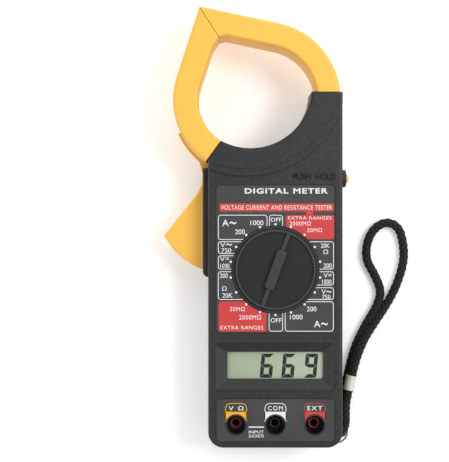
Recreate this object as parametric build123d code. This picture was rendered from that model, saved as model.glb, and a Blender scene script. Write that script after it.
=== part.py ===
from build123d import *
import math
import os

# Clamp meter, modelled lying on its back. Millimetres.
# +X to the right, +Y towards the jaws, +Z out of the front face.
# The origin is on the flat back, straight behind the axis of the range dial.

os.makedirs("parts", exist_ok=True)

# Case
body_width = 70.0
bottom_y = -92.8
shoulder_y = 92.5
corner_radius = 8.0
face_z = 33.5
ridge_z = 35.0
collar_z = 36.0
parting_z = 17.5
case_wall = 2.2
face_wall = 2.0
collar_wall = 1.4
edge_round = 1.5
back_round = 1.2
collar_back_z = 9.0
slope_start_y = 36.0
slope_end_y = 58.0

# Steps of the collar around the jaw window
window_centre = (-13.0, 95.0)
window_radius = 31.9
collar_centre = (-16.0, 103.2)
collar_radius = 50.4
ridge_centre = (-15.7, 101.9)
ridge_radius = 52.9

# Seam between the case and the opening jaw, and split between the two jaw tips
seam_point = (-28.3, 66.8)
seam_heading = 53.9
split_point = (-39.6, 136.6)
split_heading = -57.2
split_inner = (-29.3, 120.6)
jaw_gap = 0.15
seam_gap = 0.3

# Jaws: each is a band of one width on a straight run and an arc
jaw_back_z = 10.6
jaw_split_z = 22.5
jaw_front_z = 34.5
jaw_wall = 2.0
jaw_round = 2.0
fixed_centre = (-6.6, 88.5)
fixed_mid_radius = 34.5
fixed_width = 12.4
fixed_arc_start = 78.0
tongue_y = 80.0
tongue_inset = 1.1
tongue_top_z = 32.0
tongue_fit = 0.1
moving_centre = (-14.8, 88.4)
moving_mid_radius = 31.9
moving_width = 13.2
moving_arc_start = 162.1
moving_arc_end = 243.0
arm_run = 44.0
fixed_corner_run = 25.5
moving_corner_run = 20.5

# Laminated cores and the pick-up coil
core_width = 8.0
core_bottom_z = 16.6
core_height = 12.0
core_fit = 0.2
core_low_point = (-14.0, 55.6)
core_low_heading = 166.3
coil_start = 276.0
coil_end = 318.0
bobbin_wall = 0.8
winding_depth = 1.6
flange_width = 1.2

# Opening jaw's lever, pivot and trigger
pivot = (-29.5, 46.0)
pin_radius = 2.0
pin_fit = 0.05
pin_bottom_z = 6.0
pin_top_z = 29.0
hub_radius = 5.5
web_bottom_z = 11.0
web_top_z = 15.0
blade_top_z = 20.0
lip_radius = 40.0
trigger_tip = (-58.4, 17.4)
trigger_centre = (-24.3, 35.9)
trigger_radius = 38.8
trigger_inner_x = -33.0
blade_clear = 0.5
slot_frame_out = 3.0
slot_top_y = 53.4
slot_bottom_y = -4.3

# Range dial
dial_radius = 21.1
dial_seat_radius = 21.5
dial_bezel_radius = 22.4
dial_seat_z = 31.7
bezel_top_z = 33.9
knob_face_z = 34.4
knob_rim_z = 35.4
knob_rim_width = 1.3
knob_top_z = 37.0
bar_width = 5.2
bar_length = 21.5
stem_width = 2.2
bar_angle = -20.0
dial_hub_radius = 8.7
dial_hub_fit = 0.08
rotor_radius = 14.0
rotor_bottom_z = 27.2
rotor_top_z = 29.9
detent_count = 18
ball_radius = 1.5
detent_fit = 0.2

# Display
window_half = 25.3
window_top_y = -42.6
window_low_y = -57.2
bezel_half = 31.2
bezel_top_y = -38.3
bezel_low_y = -62.5
bezel_depth = 1.5
lens_thickness = 1.1
lens_lap = 1.6
lcd_thickness = 2.6

# Label recesses
label_half = 31.3
label_top_y = 44.4
label_low_y = -33.3
label_corner = 2.5
label_depth = 0.6
label_thickness = 0.3
label_play = 0.15
rear_label_half = 22.0
rear_label_low_y = 6.0
rear_label_top_y = 31.0
rear_label_corner = 2.0
rear_label_depth = 0.35
rear_label_thickness = 0.25
jack_label_top_y = -66.8
jack_label_low_y = -89.9

# Test lead jacks: 4 mm sockets sunk in round wells
jack_pitch = 20.5
jack_y = -80.9
guard_radius = 5.5
well_radius = 4.9
well_floor_z = 22.0
well_floor = 1.6
sleeve_radius = 3.1
sleeve_top_z = 25.0
sleeve_bottom_z = 11.0
sleeve_flange_radius = 3.7
plug_bore_radius = 2.0
contact_wall = 0.5
contact_bottom_z = 10.0
contact_top_z = 23.5

# Board
board_bottom_z = 24.0
board_thickness = 1.6
board_half = 30.5
board_low_y = -64.5
board_top_y = 38.0
board_ear_x = 12.5
board_ear_y = 50.5
board_ear_end_x = 28.8
board_screw_x = 27.5
board_screw_top_y = 33.0
board_screw_low_y = -19.0
chip_width = 14.0
chip_low_y = 10.0
chip_high_y = 24.0
chip_height = 2.2
trimmer_size = 6.4
trimmer_height = 3.4
trimmer_places = (4.0, 13.0, 22.0)
trimmer_y = -11.3
film_long = 7.2
film_wide = 2.8
film_height = 8.0
film_places = (-12.0, -2.0, 8.0)
film_y = -29.1
can_radius = 2.5
can_height = 9.0
can_places = (19.0, 26.0)
can_y = -24.0
resistor_radius = 1.15
resistor_long = 6.2
resistor_first = (-24.0, -12.5)
resistor_pitch = (4.0, 8.5)

# Battery, its door and its leads: a 9 V block
battery_long = 48.5
battery_wide = 26.5
battery_deep = 17.5
battery_y = -52.5
battery_x = -3.2
battery_bottom_z = 2.6
door_half = 26.8
door_top_y = -35.0
door_inset = 0.2
door_thickness = 2.0
door_play = 0.2
tongue_reach = 1.2
tray_floor = 1.6
wire_radius = 0.7

# Case screws
boss_radius = 3.3
screw_radius = 1.4
screw_head_radius = 2.6
screw_head_height = 1.8
screw_seat_z = 4.0
screw_length = 19.0
thread_fit = 0.02
board_screw_radius = 0.95
low_screw_x = 28.8
low_screw_y = -30.4
high_screws = ((-12.0, 43.0), (6.0, 43.0))

# Hold button on the right-hand side
button_y = 47.6
button_z = 25.5
button_radius = 2.3
button_boss_radius = 4.6
button_boss_out = 2.3
button_out = 3.6
button_travel = 1.5
button_fit = 0.15

# Wrist strap: wire ring on a post in a pocket at the bottom right corner
ring_centre = (33.7, -88.1)
ring_radius = 6.1
ring_wire = 0.55
ring_z = 9.6
post_at = (29.9, -89.5)
post_radius = 1.35
post_bottom_z = 3.0
post_top_z = 17.2
pocket_centre = (37.0, -91.0)
pocket_radius = 14.0
pocket_bottom_z = 4.0
pocket_top_z = 16.2
pocket_wall = 1.2
cord_diameter = 4.8
band_length = 8.0
band_wall = 0.5
band_play = 0.25
band_tilt = -12.0

# Middle line of the strap cord, from the band, round the eye, down and round the ring, to the band
cord_route = (
    (41.7, -61.6, 8.2),
    (43.0, -55.0, 8.2),
    (45.6, -46.5, 7.4),
    (49.8, -37.5, 5.2),
    (55.8, -29.0, 2.8),
    (62.2, -19.5, 2.5),
    (67.2, -10.0, 2.5),
    (71.4, 3.0, 2.5),
    (71.2, 13.0, 2.5),
    (68.6, 22.6, 2.5),
    (60.8, 25.6, 2.5),
    (52.4, 18.8, 2.5),
    (50.0, 5.6, 2.5),
    (55.6, -4.0, 2.5),
    (59.2, -13.0, 2.5),
    (56.4, -21.5, 2.5),
    (50.8, -30.5, 2.5),
    (45.4, -41.0, 2.5),
    (42.2, -51.5, 2.5),
    (39.9, -62.0, 2.5),
    (38.5, -71.0, 2.5),
    (38.4, -77.5, 3.0),
    (38.3, -83.6, 4.4),
    (36.0, -88.9, 6.4),
    (36.3, -88.9, 12.6),
    (38.3, -83.6, 14.4),
    (38.5, -78.6, 12.6),
    (38.9, -73.4, 9.4),
    (40.0, -68.4, 8.3),
    (41.3, -62.3, 8.2),
)

far = 300.0


def save(name, shape):
    """Write one named piece to its own file."""
    shape.label = name
    export_step(shape, f"parts/{name}.step")


def polar(centre, radius, degrees):
    """Point on a circle."""
    angle = math.radians(degrees)
    return (centre[0] + radius * math.cos(angle), centre[1] + radius * math.sin(angle))


def slab(low, high):
    """Everything between two heights."""
    return Pos(0, 0, (low + high) / 2) * Box(far, far, high - low)


def raise_plan(plan, low, high):
    """Prism on a plan between two heights."""
    return extrude(Pos(0, 0, low) * plan, high - low)


def block(x0, x1, y0, y1, z0, z1):
    """Box given by its limits."""
    middle = Pos((x0 + x1) / 2, (y0 + y1) / 2, (z0 + z1) / 2)
    return middle * Box(x1 - x0, y1 - y0, z1 - z0)


def rod(centre, radius, low, high):
    """Upright cylinder between two heights."""
    return Pos(centre[0], centre[1], (low + high) / 2) * Cylinder(radius, high - low)


def tube(centre, outer, inner, low, high):
    """Upright tube between two heights."""
    return rod(centre, outer, low, high) - rod(centre, inner, low - 1, high + 1)


def left_of(point, heading, gap=0.0):
    """Half plane to the left of a line, kept back from it by a gap."""
    return Pos(*point) * Rot(0, 0, heading) * Pos(0, far / 2 + gap) * Rectangle(far, far)


def right_of(point, heading, gap=0.0):
    """Half plane to the right of a line, kept back from it by a gap."""
    return Pos(*point) * Rot(0, 0, heading) * Pos(0, -far / 2 - gap) * Rectangle(far, far)


def outline(*points):
    """Plan inside straight edges, its face turned to +Z whichever way the points run."""
    following = points[1:] + points[:1]
    area = sum(a[0] * b[1] - b[0] * a[1] for a, b in zip(points, following))
    ordered = points if area > 0 else points[::-1]
    return Polygon(*ordered, align=None)


def round_plate(x0, x1, y0, y1, radius):
    """Plan of a rectangle with round corners."""
    return Pos((x0 + x1) / 2, (y0 + y1) / 2) * RectangleRounded(x1 - x0, y1 - y0, radius)


# ---------------------------------------------------------------- case

half_width = body_width / 2
seam_way = polar((0, 0), 1, seam_heading)
seam_foot = (
    -half_width,
    seam_point[1] + seam_way[1] * (-half_width - seam_point[0]) / seam_way[0],
)
seam_head = (seam_point[0] + 8 * seam_way[0], seam_point[1] + 8 * seam_way[1])


def case_plan():
    """Outline of the case seen from the front."""
    corners = (
        seam_foot,
        (-half_width, bottom_y),
        (half_width, bottom_y),
        (half_width, shoulder_y),
        (window_centre[0], shoulder_y),
        seam_head,
    )
    plan = outline(*corners)
    low_corners = plan.vertices().group_by(Axis.Y)[0]
    plan = fillet(low_corners, corner_radius)
    return plan - Pos(*window_centre) * Circle(window_radius)


def behind(inset):
    """Everything in front of the stepped back of the case."""
    profile = outline(
        (bottom_y - 10, inset),
        (slope_start_y, inset),
        (slope_end_y, collar_back_z + inset),
        (shoulder_y + 10, collar_back_z + inset),
        (shoulder_y + 10, 60),
        (bottom_y - 10, 60),
    )
    return extrude(Plane.YZ * profile, far / 2, both=True)


def rounded_prism(plan, top):
    """Prism with its front edge rounded."""
    prism = raise_plan(plan, 0, top)
    front = prism.faces().sort_by(Axis.Z)[-1]
    return fillet(front.edges(), edge_round)


def case_outside():
    """Solid outer form of the closed case, with the two steps up to the jaws."""
    plan = case_plan()
    ridge = raise_plan(Pos(*ridge_centre) * Circle(ridge_radius), 0, far)
    collar = raise_plan(Pos(*collar_centre) * Circle(collar_radius), 0, far)
    body = rounded_prism(plan, face_z)
    body += rounded_prism(plan, ridge_z) & ridge
    body += rounded_prism(plan, collar_z) & collar
    return body & behind(0)


def case_cavity():
    """Room inside the case."""
    plan = offset(case_plan(), -case_wall, kind=Kind.INTERSECTION)
    thin = offset(case_plan(), -collar_wall, kind=Kind.INTERSECTION)
    ridge = Pos(*ridge_centre) * Circle(ridge_radius - face_wall)
    collar = Pos(*collar_centre) * Circle(collar_radius - face_wall)
    room = raise_plan(plan, 0, face_z - face_wall)
    room += raise_plan(plan & ridge, 0, ridge_z - face_wall)
    room = room & behind(case_wall)
    throat = raise_plan(thin & collar, 0, collar_z - collar_wall)
    return room + (throat & behind(collar_wall))


def slot_frame():
    """Raised frame on the left side that the trigger comes out of."""
    height = slot_top_y - slot_bottom_y
    frame = block(
        -half_width - slot_frame_out,
        -half_width + 1,
        slot_bottom_y,
        slot_top_y,
        web_bottom_z - 2.6,
        blade_top_z + 2.6,
    )
    low_edges = frame.edges().filter_by(Axis.Z).group_by(Axis.Y)[0]
    low_edges = low_edges.sort_by(Axis.X)[0:1]
    frame = fillet(low_edges, slot_frame_out - 0.1)
    rim = frame.faces().sort_by(Axis.X)[0].edges().filter_by(Axis.Y)
    return fillet(rim, 1.0)


def blade_room():
    """Slot that the trigger and its lever swing in."""
    slot = block(
        -half_width - 10,
        -half_width + case_wall + 1,
        slot_bottom_y + 1.8,
        slot_top_y - 1.5,
        web_bottom_z - blade_clear,
        blade_top_z + blade_clear,
    )
    lever = block(
        -half_width - 10,
        -half_width + case_wall + 1,
        slot_top_y - 2,
        seam_foot[1] + 6,
        web_bottom_z - blade_clear,
        web_top_z + blade_clear,
    )
    crossing = right_of(seam_point, seam_heading) & left_of(seam_point, seam_heading, -3.2)
    crossing = crossing & (Pos(*moving_centre) * Circle(moving_mid_radius + 12))
    crossing = crossing - Pos(*window_centre) * Circle(window_radius + collar_wall)
    return slot + lever + raise_plan(crossing, web_bottom_z - blade_clear, web_top_z + blade_clear)


def ring_pocket(grow):
    """Pocket at the corner for the strap ring and the fold of the cord."""
    plan = Pos(*pocket_centre) * Circle(pocket_radius + grow)
    return raise_plan(plan, pocket_bottom_z - grow, pocket_top_z + grow)


def jack_places():
    return [(-jack_pitch, jack_y), (0.0, jack_y), (jack_pitch, jack_y)]


def screw_places():
    return [(-low_screw_x, low_screw_y), (low_screw_x, low_screw_y), *high_screws]


def board_screw_places():
    return [
        (side * board_screw_x, y)
        for side in (-1, 1)
        for y in (board_screw_low_y, board_screw_top_y)
    ]


def display_funnel():
    """Bevelled funnel from the display bezel down to its window."""
    wide = round_plate(-bezel_half, bezel_half, bezel_low_y, bezel_top_y, 1.5)
    narrow = round_plate(-window_half, window_half, window_low_y, window_top_y, 1.2)
    funnel = loft([Pos(0, 0, face_z) * wide, Pos(0, 0, face_z - bezel_depth) * narrow], ruled=True)
    return funnel + raise_plan(narrow, face_z - face_wall - 1, face_z - bezel_depth)


def detent_ring():
    """Ring under the face with a hollow for each click of the dial."""
    inner = rotor_radius + ball_radius + detent_fit + 0.2
    ring = tube((0, 0), inner + 2.6, inner, rotor_bottom_z + 0.3, face_z - face_wall)
    for step in range(detent_count):
        place = polar((0, 0), inner - 0.3, 360 / detent_count * step)
        ring -= rod(place, ball_radius, rotor_bottom_z, rotor_top_z + 0.3)
    return ring


def jaw_doors():
    """Openings in the collar for the fixed jaw and for the end of its core."""
    arm = fixed_band(0.1) & left_of((0, shoulder_y - 4), 0)
    mouth = raise_plan(arm, jaw_back_z - 0.1, jaw_front_z + 0.1)
    near = Pos(half_width, (tongue_y + shoulder_y) / 2) * Rectangle(
        body_width, shoulder_y - tongue_y + 2 * tongue_fit
    )
    mouth += raise_plan(
        fixed_band(tongue_fit - tongue_inset) & near,
        jaw_back_z + tongue_inset - tongue_fit,
        tongue_top_z + tongue_fit,
    )
    core = core_band(fixed_core_line(), core_fit)
    near_seam = core & (Pos(*seam_point) * Circle(22))
    low = core_bottom_z - core_fit
    return mouth + raise_plan(near_seam, low, low + core_height + 2 * core_fit)


def strap_block():
    """Solid corner around the ring pocket."""
    plan = offset(case_plan(), -0.3) & (Pos(*pocket_centre) * Circle(pocket_radius + pocket_wall))
    plan = plan & right_of((0, slope_start_y - 100), 0)
    return raise_plan(plan, pocket_bottom_z - pocket_wall, pocket_top_z + pocket_wall)


def front_case(outside, cavity):
    case = (outside + slot_frame()) - cavity
    case += strap_block()
    case = case & slab(parting_z, far)
    inner_face = face_z - face_wall
    # dial seat, with its raised ring
    case += tube((0, 0), dial_bezel_radius, dial_seat_radius, inner_face, bezel_top_z)
    case += rod((0, 0), dial_seat_radius + 1.5, dial_seat_z - face_wall, inner_face)
    case -= rod((0, 0), dial_seat_radius, dial_seat_z, far / 2)
    case += detent_ring()
    case -= rod((0, 0), dial_hub_radius + dial_hub_fit, rotor_top_z - 1, far / 2)
    # label recesses, which leave the dial's ring standing
    for low, high in ((label_low_y, label_top_y), (jack_label_low_y, jack_label_top_y)):
        plate = round_plate(-label_half, label_half, low, high, label_corner)
        plate -= Circle(dial_bezel_radius)
        for place in jack_places():
            plate -= Pos(*place) * Circle(guard_radius)
        case -= raise_plan(plate, face_z - label_depth, far / 2)
    case -= display_funnel()
    # jack wells
    for place in jack_places():
        case += tube(place, well_radius + 1, well_radius, well_floor_z - well_floor, inner_face)
        case += rod(place, well_radius + 1, well_floor_z - well_floor, well_floor_z)
        case += tube(place, guard_radius, well_radius, inner_face, face_z)
        case -= rod(place, well_radius, well_floor_z, far / 2)
        case -= rod(place, sleeve_radius + 0.05, 0, far / 2)
    # bosses, posts and the pivot
    for place in screw_places():
        case += tube(place, boss_radius, screw_radius + thread_fit, parting_z, inner_face + 0.1)
    for place in board_screw_places():
        post_foot = board_bottom_z + board_thickness
        case += tube(place, 2.6, board_screw_radius + thread_fit, post_foot, inner_face + 0.1)
    case += tube(pivot, 4.4, pin_radius + pin_fit, blade_top_z + 4.0, inner_face + 0.1)
    # hold button: a round boss on the right side
    out = half_width + button_boss_out
    boss = Pos(out - 3, button_y, button_z) * Rot(0, 90, 0) * Cylinder(button_boss_radius, 6)
    boss = fillet(boss.edges().sort_by(Axis.X)[-1], 0.8)
    case += boss - block(0, half_width - 1, -far, far, 0, far)
    case -= Pos(half_width, button_y, button_z) * Rot(0, 90, 0) * Cylinder(
        button_radius + button_fit, 16
    )
    case -= ring_pocket(0)
    case -= blade_room()
    case -= jaw_doors()
    return case


def rear_case(outside, cavity):
    case = (outside + slot_frame()) - cavity
    case += strap_block()
    # floor over the battery door, and walls at the battery's two long sides
    inside = offset(case_plan(), -case_wall / 2)
    door_ceiling = door_inset + door_thickness + door_play / 2
    tray = block(-far, far, bottom_y, door_top_y + 3.0, door_ceiling, door_ceiling + tray_floor)
    case += tray & raise_plan(inside, 0, face_z)
    for side in (-1, 1):
        wall_y = battery_y + side * (battery_wide / 2 + 0.9)
        case += block(-27.5, 26.5, wall_y - 0.6, wall_y + 0.6, door_ceiling, 16.0)
    case -= block(
        battery_x - battery_long / 2 - 0.4,
        board_half - 1.0,
        battery_y - battery_wide / 2 - 0.3,
        battery_y + battery_wide / 2 + 0.3,
        door_ceiling - 0.1,
        door_ceiling + tray_floor + 0.1,
    )
    case = case & slab(-1, parting_z)
    case -= door_opening()
    for place in screw_places():
        case += tube(place, boss_radius, screw_radius + 0.2, screw_seat_z, parting_z)
        case += tube(place, boss_radius, screw_head_radius + 0.3, 0.4, screw_seat_z + 0.1) & behind(0)
        case -= rod(place, screw_radius + 0.2, 0, parting_z + 1)
        case -= rod(place, screw_head_radius + 0.3, -1, screw_seat_z)
    case += rod(pivot, 4.4, 3.0, web_bottom_z - 0.2) & behind(0.5)
    case -= rod(pivot, pin_radius + pin_fit, pin_bottom_z - 0.05, far)
    # rest for the fixed core
    rest = rod(core_low_point, 3.0, collar_back_z, core_bottom_z)
    case += rest & behind(0.5)
    case -= ring_pocket(0)
    case -= rod(post_at, post_radius + 0.02, post_bottom_z - 0.05, far)
    case -= blade_room()
    case -= jaw_doors()
    case -= label_recess()
    return case


def rear_label_plan(play):
    """Plan of the label on the back, kept inside its recess by a play."""
    half = rear_label_half - play
    low = rear_label_low_y + play
    high = rear_label_top_y - play
    return round_plate(-half, half, low, high, rear_label_corner - play)


def label_recess():
    return raise_plan(rear_label_plan(0), -1, rear_label_depth)


def door_opening():
    """Opening that the battery door slides in, with a groove at each side."""
    half = door_half + door_play
    top = door_inset + door_thickness + door_play / 2
    opening = block(-half, half, bottom_y - 5, door_top_y + door_play, -1, top)
    groove = half + tongue_reach
    return opening + block(-groove, groove, bottom_y - 5, door_top_y + door_play, 1.0, top)


def battery_door(outside):
    """Sliding door, with tongues along its sides and ribs for the thumb."""
    top = door_inset + door_thickness
    door = block(-door_half, door_half, bottom_y, door_top_y, door_inset, top)
    reach = door_half + tongue_reach - door_play
    door += block(-reach, reach, bottom_y + 9.0, door_top_y, 1.2, top)
    door = door & outside
    for step in range(6):
        y = bottom_y + 14.0 + 2.4 * step
        door -= block(-9, 9, y - 0.5, y + 0.5, 0, door_inset + 0.5)
    return door


# ---------------------------------------------------------------- jaws

def fixed_line(end_angle):
    """Middle line of the fixed jaw's arm, past the split and round its arc."""
    start = polar(fixed_centre, fixed_mid_radius, fixed_arc_start)
    run = polar(start, arm_run, fixed_arc_start + 90)
    arc = CenterArc(fixed_centre, fixed_mid_radius, fixed_arc_start, end_angle - fixed_arc_start)
    return [Line(run, start), arc]


def moving_line():
    start = polar(moving_centre, moving_mid_radius, moving_arc_start)
    run = polar(start, arm_run, moving_arc_start - 90)
    sweep_angle = moving_arc_end - moving_arc_start
    return [Line(run, start), CenterArc(moving_centre, moving_mid_radius, moving_arc_start, sweep_angle)]


def arm_band(centre, mid_radius, width, arc_start, arc_end, turn):
    """Band of even width: an arc from one angle to another, and a straight run off its start."""
    outer = mid_radius + width / 2
    inner = mid_radius - width / 2
    ring = Circle(outer) - Circle(inner)
    low, high = min(arc_start, arc_end), max(arc_start, arc_end)
    middle = (low + high) / 2
    spread = (high - low) / 2
    reach = outer * 1.6
    wedge = outline(
        (0, 0),
        polar((0, 0), reach / math.cos(math.radians(spread / 2)), middle - spread),
        polar((0, 0), reach / math.cos(math.radians(spread / 2)), middle - spread / 3),
        polar((0, 0), reach / math.cos(math.radians(spread / 2)), middle + spread / 3),
        polar((0, 0), reach / math.cos(math.radians(spread / 2)), middle + spread),
    )
    run = Rot(0, 0, arc_start) * Pos(mid_radius, turn * arm_run / 2) * Rectangle(width, arm_run)
    return Pos(*centre) * ((ring & wedge) + run)


def fixed_band(grow):
    """Plan of the fixed jaw's arm, grown at each side, from the split to inside the collar."""
    width = fixed_width + 2 * grow
    band = arm_band(fixed_centre, fixed_mid_radius, width, fixed_arc_start, -14.0, 1)
    return band & left_of((0, tongue_y - 1), 0)


def fixed_arm_plan():
    """Plan of the fixed jaw, with its inner corner filled at the tip."""
    inner = fixed_mid_radius - fixed_width / 2
    foot = polar(polar(fixed_centre, inner, fixed_arc_start), fixed_corner_run, fixed_arc_start + 90)
    inside = polar(foot, 4, fixed_arc_start)
    corner = outline(foot, split_inner, polar(split_inner, 5, split_heading + 180), inside)
    band = fixed_band(0.0) + corner
    return band & left_of(split_point, split_heading, jaw_gap)


def moving_arm_plan():
    """Plan of the opening jaw down to its seam with the case."""
    band = arm_band(
        moving_centre, moving_mid_radius, moving_width, moving_arc_start, moving_arc_end, -1
    )
    inner = moving_mid_radius - moving_width / 2
    foot = polar(polar(moving_centre, inner, moving_arc_start), moving_corner_run, moving_arc_start - 90)
    inside = polar(foot, 4, moving_arc_start)
    corner = outline(foot, split_inner, polar(split_inner, 5, split_heading + 180), inside)
    band = (band + corner) & right_of(split_point, split_heading, jaw_gap)
    return band & left_of(seam_point, seam_heading, seam_gap)


def fixed_core_line():
    """Middle line of the fixed core, from the jaw tip through the collar to the seam."""
    arm = fixed_line(0.0)
    low = TangentArc(arm[1] @ 1, core_low_point, tangent=(0, -1))
    tail = Line(core_low_point, polar(core_low_point, 26.0, core_low_heading))
    return [*arm, low, tail]


def core_band(lines, grow=0.0):
    """Plan of a core: its middle line given the core's width, grown at each side."""
    middle = Wire([line.edge() for line in lines])
    band = trace(middle.edges(), line_width=core_width + 2 * grow)
    return Sketch() + [face if face.normal_at().Z > 0 else -face for face in band.faces()]


def fixed_core():
    plan = core_band(fixed_core_line())
    plan = plan & left_of(split_point, split_heading, jaw_gap)
    plan = plan & right_of(seam_point, seam_heading, 0.0)
    return raise_plan(plan, core_bottom_z, core_bottom_z + core_height)


def moving_core():
    plan = core_band(moving_line())
    plan = plan & right_of(split_point, split_heading, jaw_gap)
    plan = plan & left_of(seam_point, seam_heading, seam_gap)
    return raise_plan(plan, core_bottom_z, core_bottom_z + core_height)


def on_joint(edge):
    """Whether an edge lies along the split of the tips, the seam or the tongue."""
    middle = edge.center()
    for point, heading in ((split_point, split_heading), (seam_point, seam_heading)):
        across = polar((0, 0), 1, heading + 90)
        away = (middle.X - point[0]) * across[0] + (middle.Y - point[1]) * across[1]
        if abs(away) < 1.0:
            return True
    return middle.X > 0 and middle.Y < shoulder_y + 1.0


def jaw_shell(plan, channel, low, high, rounded):
    """Half shell of a jaw, rounded on its outer edge, with a channel for the core."""
    shell = raise_plan(plan, low, high)
    face = shell.faces().sort_by(Axis.Z)[-1 if rounded == "front" else 0]
    shell = fillet([edge for edge in face.edges() if not on_joint(edge)], jaw_round)
    room = raise_plan(channel, core_bottom_z - core_fit, core_bottom_z + core_height + core_fit)
    return shell - room


def fixed_shell(low, high, rounded):
    """Half shell of the fixed jaw, with the slimmer tongue that sits inside the collar."""
    plan = fixed_arm_plan() & left_of((0, shoulder_y), 0)
    channel = fixed_channel()
    shell = jaw_shell(plan, channel, low, high, rounded)
    near = Pos(half_width, (tongue_y + shoulder_y) / 2 + 1) * Rectangle(
        body_width, shoulder_y - tongue_y + 2
    )
    tongue = raise_plan(
        fixed_band(-tongue_inset) & near,
        max(low, jaw_back_z + tongue_inset),
        min(high, tongue_top_z),
    )
    room = raise_plan(channel, core_bottom_z - core_fit, core_bottom_z + core_height + core_fit)
    return shell + (tongue - room)


def lever_plan():
    """Flat lever from the opening jaw past the pivot to the trigger's root."""
    lip = Pos(*moving_centre) * (Circle(lip_radius) - Circle(moving_mid_radius))
    wedge = outline(
        moving_centre,
        polar(moving_centre, 60, 204),
        polar(moving_centre, 60, 220),
        polar(moving_centre, 60, 236),
    )
    web = outline(
        (-44.0, 66.0),
        (-32.0, 61.5),
        (-26.0, 52.0),
        (-24.2, 44.5),
        (-36.0, 42.0),
        (-38.2, 50.0),
        (-39.1, 54.7),
    )
    return (lip & wedge) + web + Pos(*pivot) * Circle(hub_radius)


def trigger_plan():
    """Trigger: a straight upper edge, a round outer edge and a root inside the case."""
    edge = outline(
        (-38.2, 50.5),
        (-38.7, 45.0),
        (-40.7, 40.6),
        (-43.7, 36.5),
        (-51.6, 26.6),
        (-70.0, 3.5),
        (-60.0, -20.0),
        (trigger_inner_x, -20.0),
        (trigger_inner_x, 12.0),
        (-25.0, 42.6),
        (-27.0, 50.5),
    )
    return edge & (Pos(*trigger_centre) * Circle(trigger_radius))


def moving_jaw_rear():
    """Rear half of the opening jaw, moulded in one with its lever and trigger."""
    arm = moving_arm_plan()
    shell = jaw_shell(arm, moving_channel(), jaw_back_z, jaw_split_z, "rear")
    shell += raise_plan(lever_plan(), web_bottom_z, web_top_z)
    blade = raise_plan(trigger_plan(), web_bottom_z, blade_top_z)
    rims = blade.faces().filter_by(Axis.Z)
    visible = -half_width - slot_frame_out
    outer = [edge for face in rims for edge in face.edges() if edge.center().X < visible]
    shell += fillet(outer, 1.2)
    shell += rod(pivot, hub_radius, web_bottom_z, blade_top_z)
    return shell - rod(pivot, pin_radius + pin_fit, 0, far / 2)


def moving_channel():
    return core_band(moving_line(), core_fit)


def moving_jaw_front():
    return jaw_shell(moving_arm_plan(), moving_channel(), jaw_split_z, jaw_front_z, "front")


def fixed_channel():
    return core_band(fixed_core_line(), core_fit)


def coil_band(width, start, end):
    """Plan of a stretch of the coil, on the low arc of the fixed core."""
    low = fixed_core_line()[2].edge()
    centre = low.arc_center
    radius = low.radius
    ring = Circle(radius + width / 2) - Circle(radius - width / 2)
    wedge = outline(
        (0, 0),
        polar((0, 0), 80, start),
        polar((0, 0), 80, (start + end) / 2),
        polar((0, 0), 80, end),
    )
    return Pos(centre.X, centre.Y) * (ring & wedge)


def coil_bobbin():
    """Bobbin over the fixed core, with a flange at each end."""
    wall = core_fit + bobbin_wall
    low, high = core_bottom_z - wall, core_bottom_z + core_height + wall
    width = core_width + 2 * wall
    bobbin = raise_plan(coil_band(width, coil_start, coil_end), low, high)
    depth = winding_depth
    for start in (coil_start - flange_width, coil_end):
        flange = coil_band(width + 2 * depth, start, start + flange_width)
        bobbin += raise_plan(flange, low - depth, high + depth)
    hole = coil_band(core_width + 2 * core_fit, coil_start - 10, coil_end + 10)
    return bobbin - raise_plan(hole, core_bottom_z - core_fit, core_bottom_z + core_height + core_fit)


def pickup_coil():
    wall = core_fit + bobbin_wall
    low, high = core_bottom_z - wall, core_bottom_z + core_height + wall
    width = core_width + 2 * wall
    start, end = coil_start + 0.3, coil_end - 0.3
    depth = winding_depth - 0.2
    coil = raise_plan(coil_band(width + 2 * depth, start, end), low - depth, high + depth)
    return coil - raise_plan(coil_band(width, start - 5, end + 5), low, high)


def coil_leads():
    """Two insulated wires from the coil down to the board."""
    leads = []
    for x, top_y in ((15.5, 54.0), (18.5, 56.0)):
        points = ((x, top_y, 20.5), (x, 48.6, 20.5), (x, 48.6, board_bottom_z))
        leads.append(wire(points, 0.5, 1.4))
    return leads


def jaw_spring():
    """Torsion spring on the pivot pin, one leg towards the case and one over the trigger."""
    wire_size = 0.35
    low = blade_top_z + 0.3 + wire_size
    radius = pin_radius + 0.65
    coil = Helix(pitch=0.95, height=2.85, radius=radius)
    start = Plane(origin=coil @ 0, z_dir=coil % 0)
    spring = sweep(start * Circle(wire_size), path=Wire([coil.edge()]))
    spring = Pos(*pivot, low) * spring
    down = Pos(pivot[0] + radius, pivot[1] - 5.0, low) * Rot(90, 0, 0) * Cylinder(wire_size, 10.0)
    up = Pos(pivot[0] + radius, pivot[1] + 2.2, low + 2.85) * Rot(90, 0, 0)
    return spring + down + up * Cylinder(wire_size, 4.4)


# ---------------------------------------------------------------- dial

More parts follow.
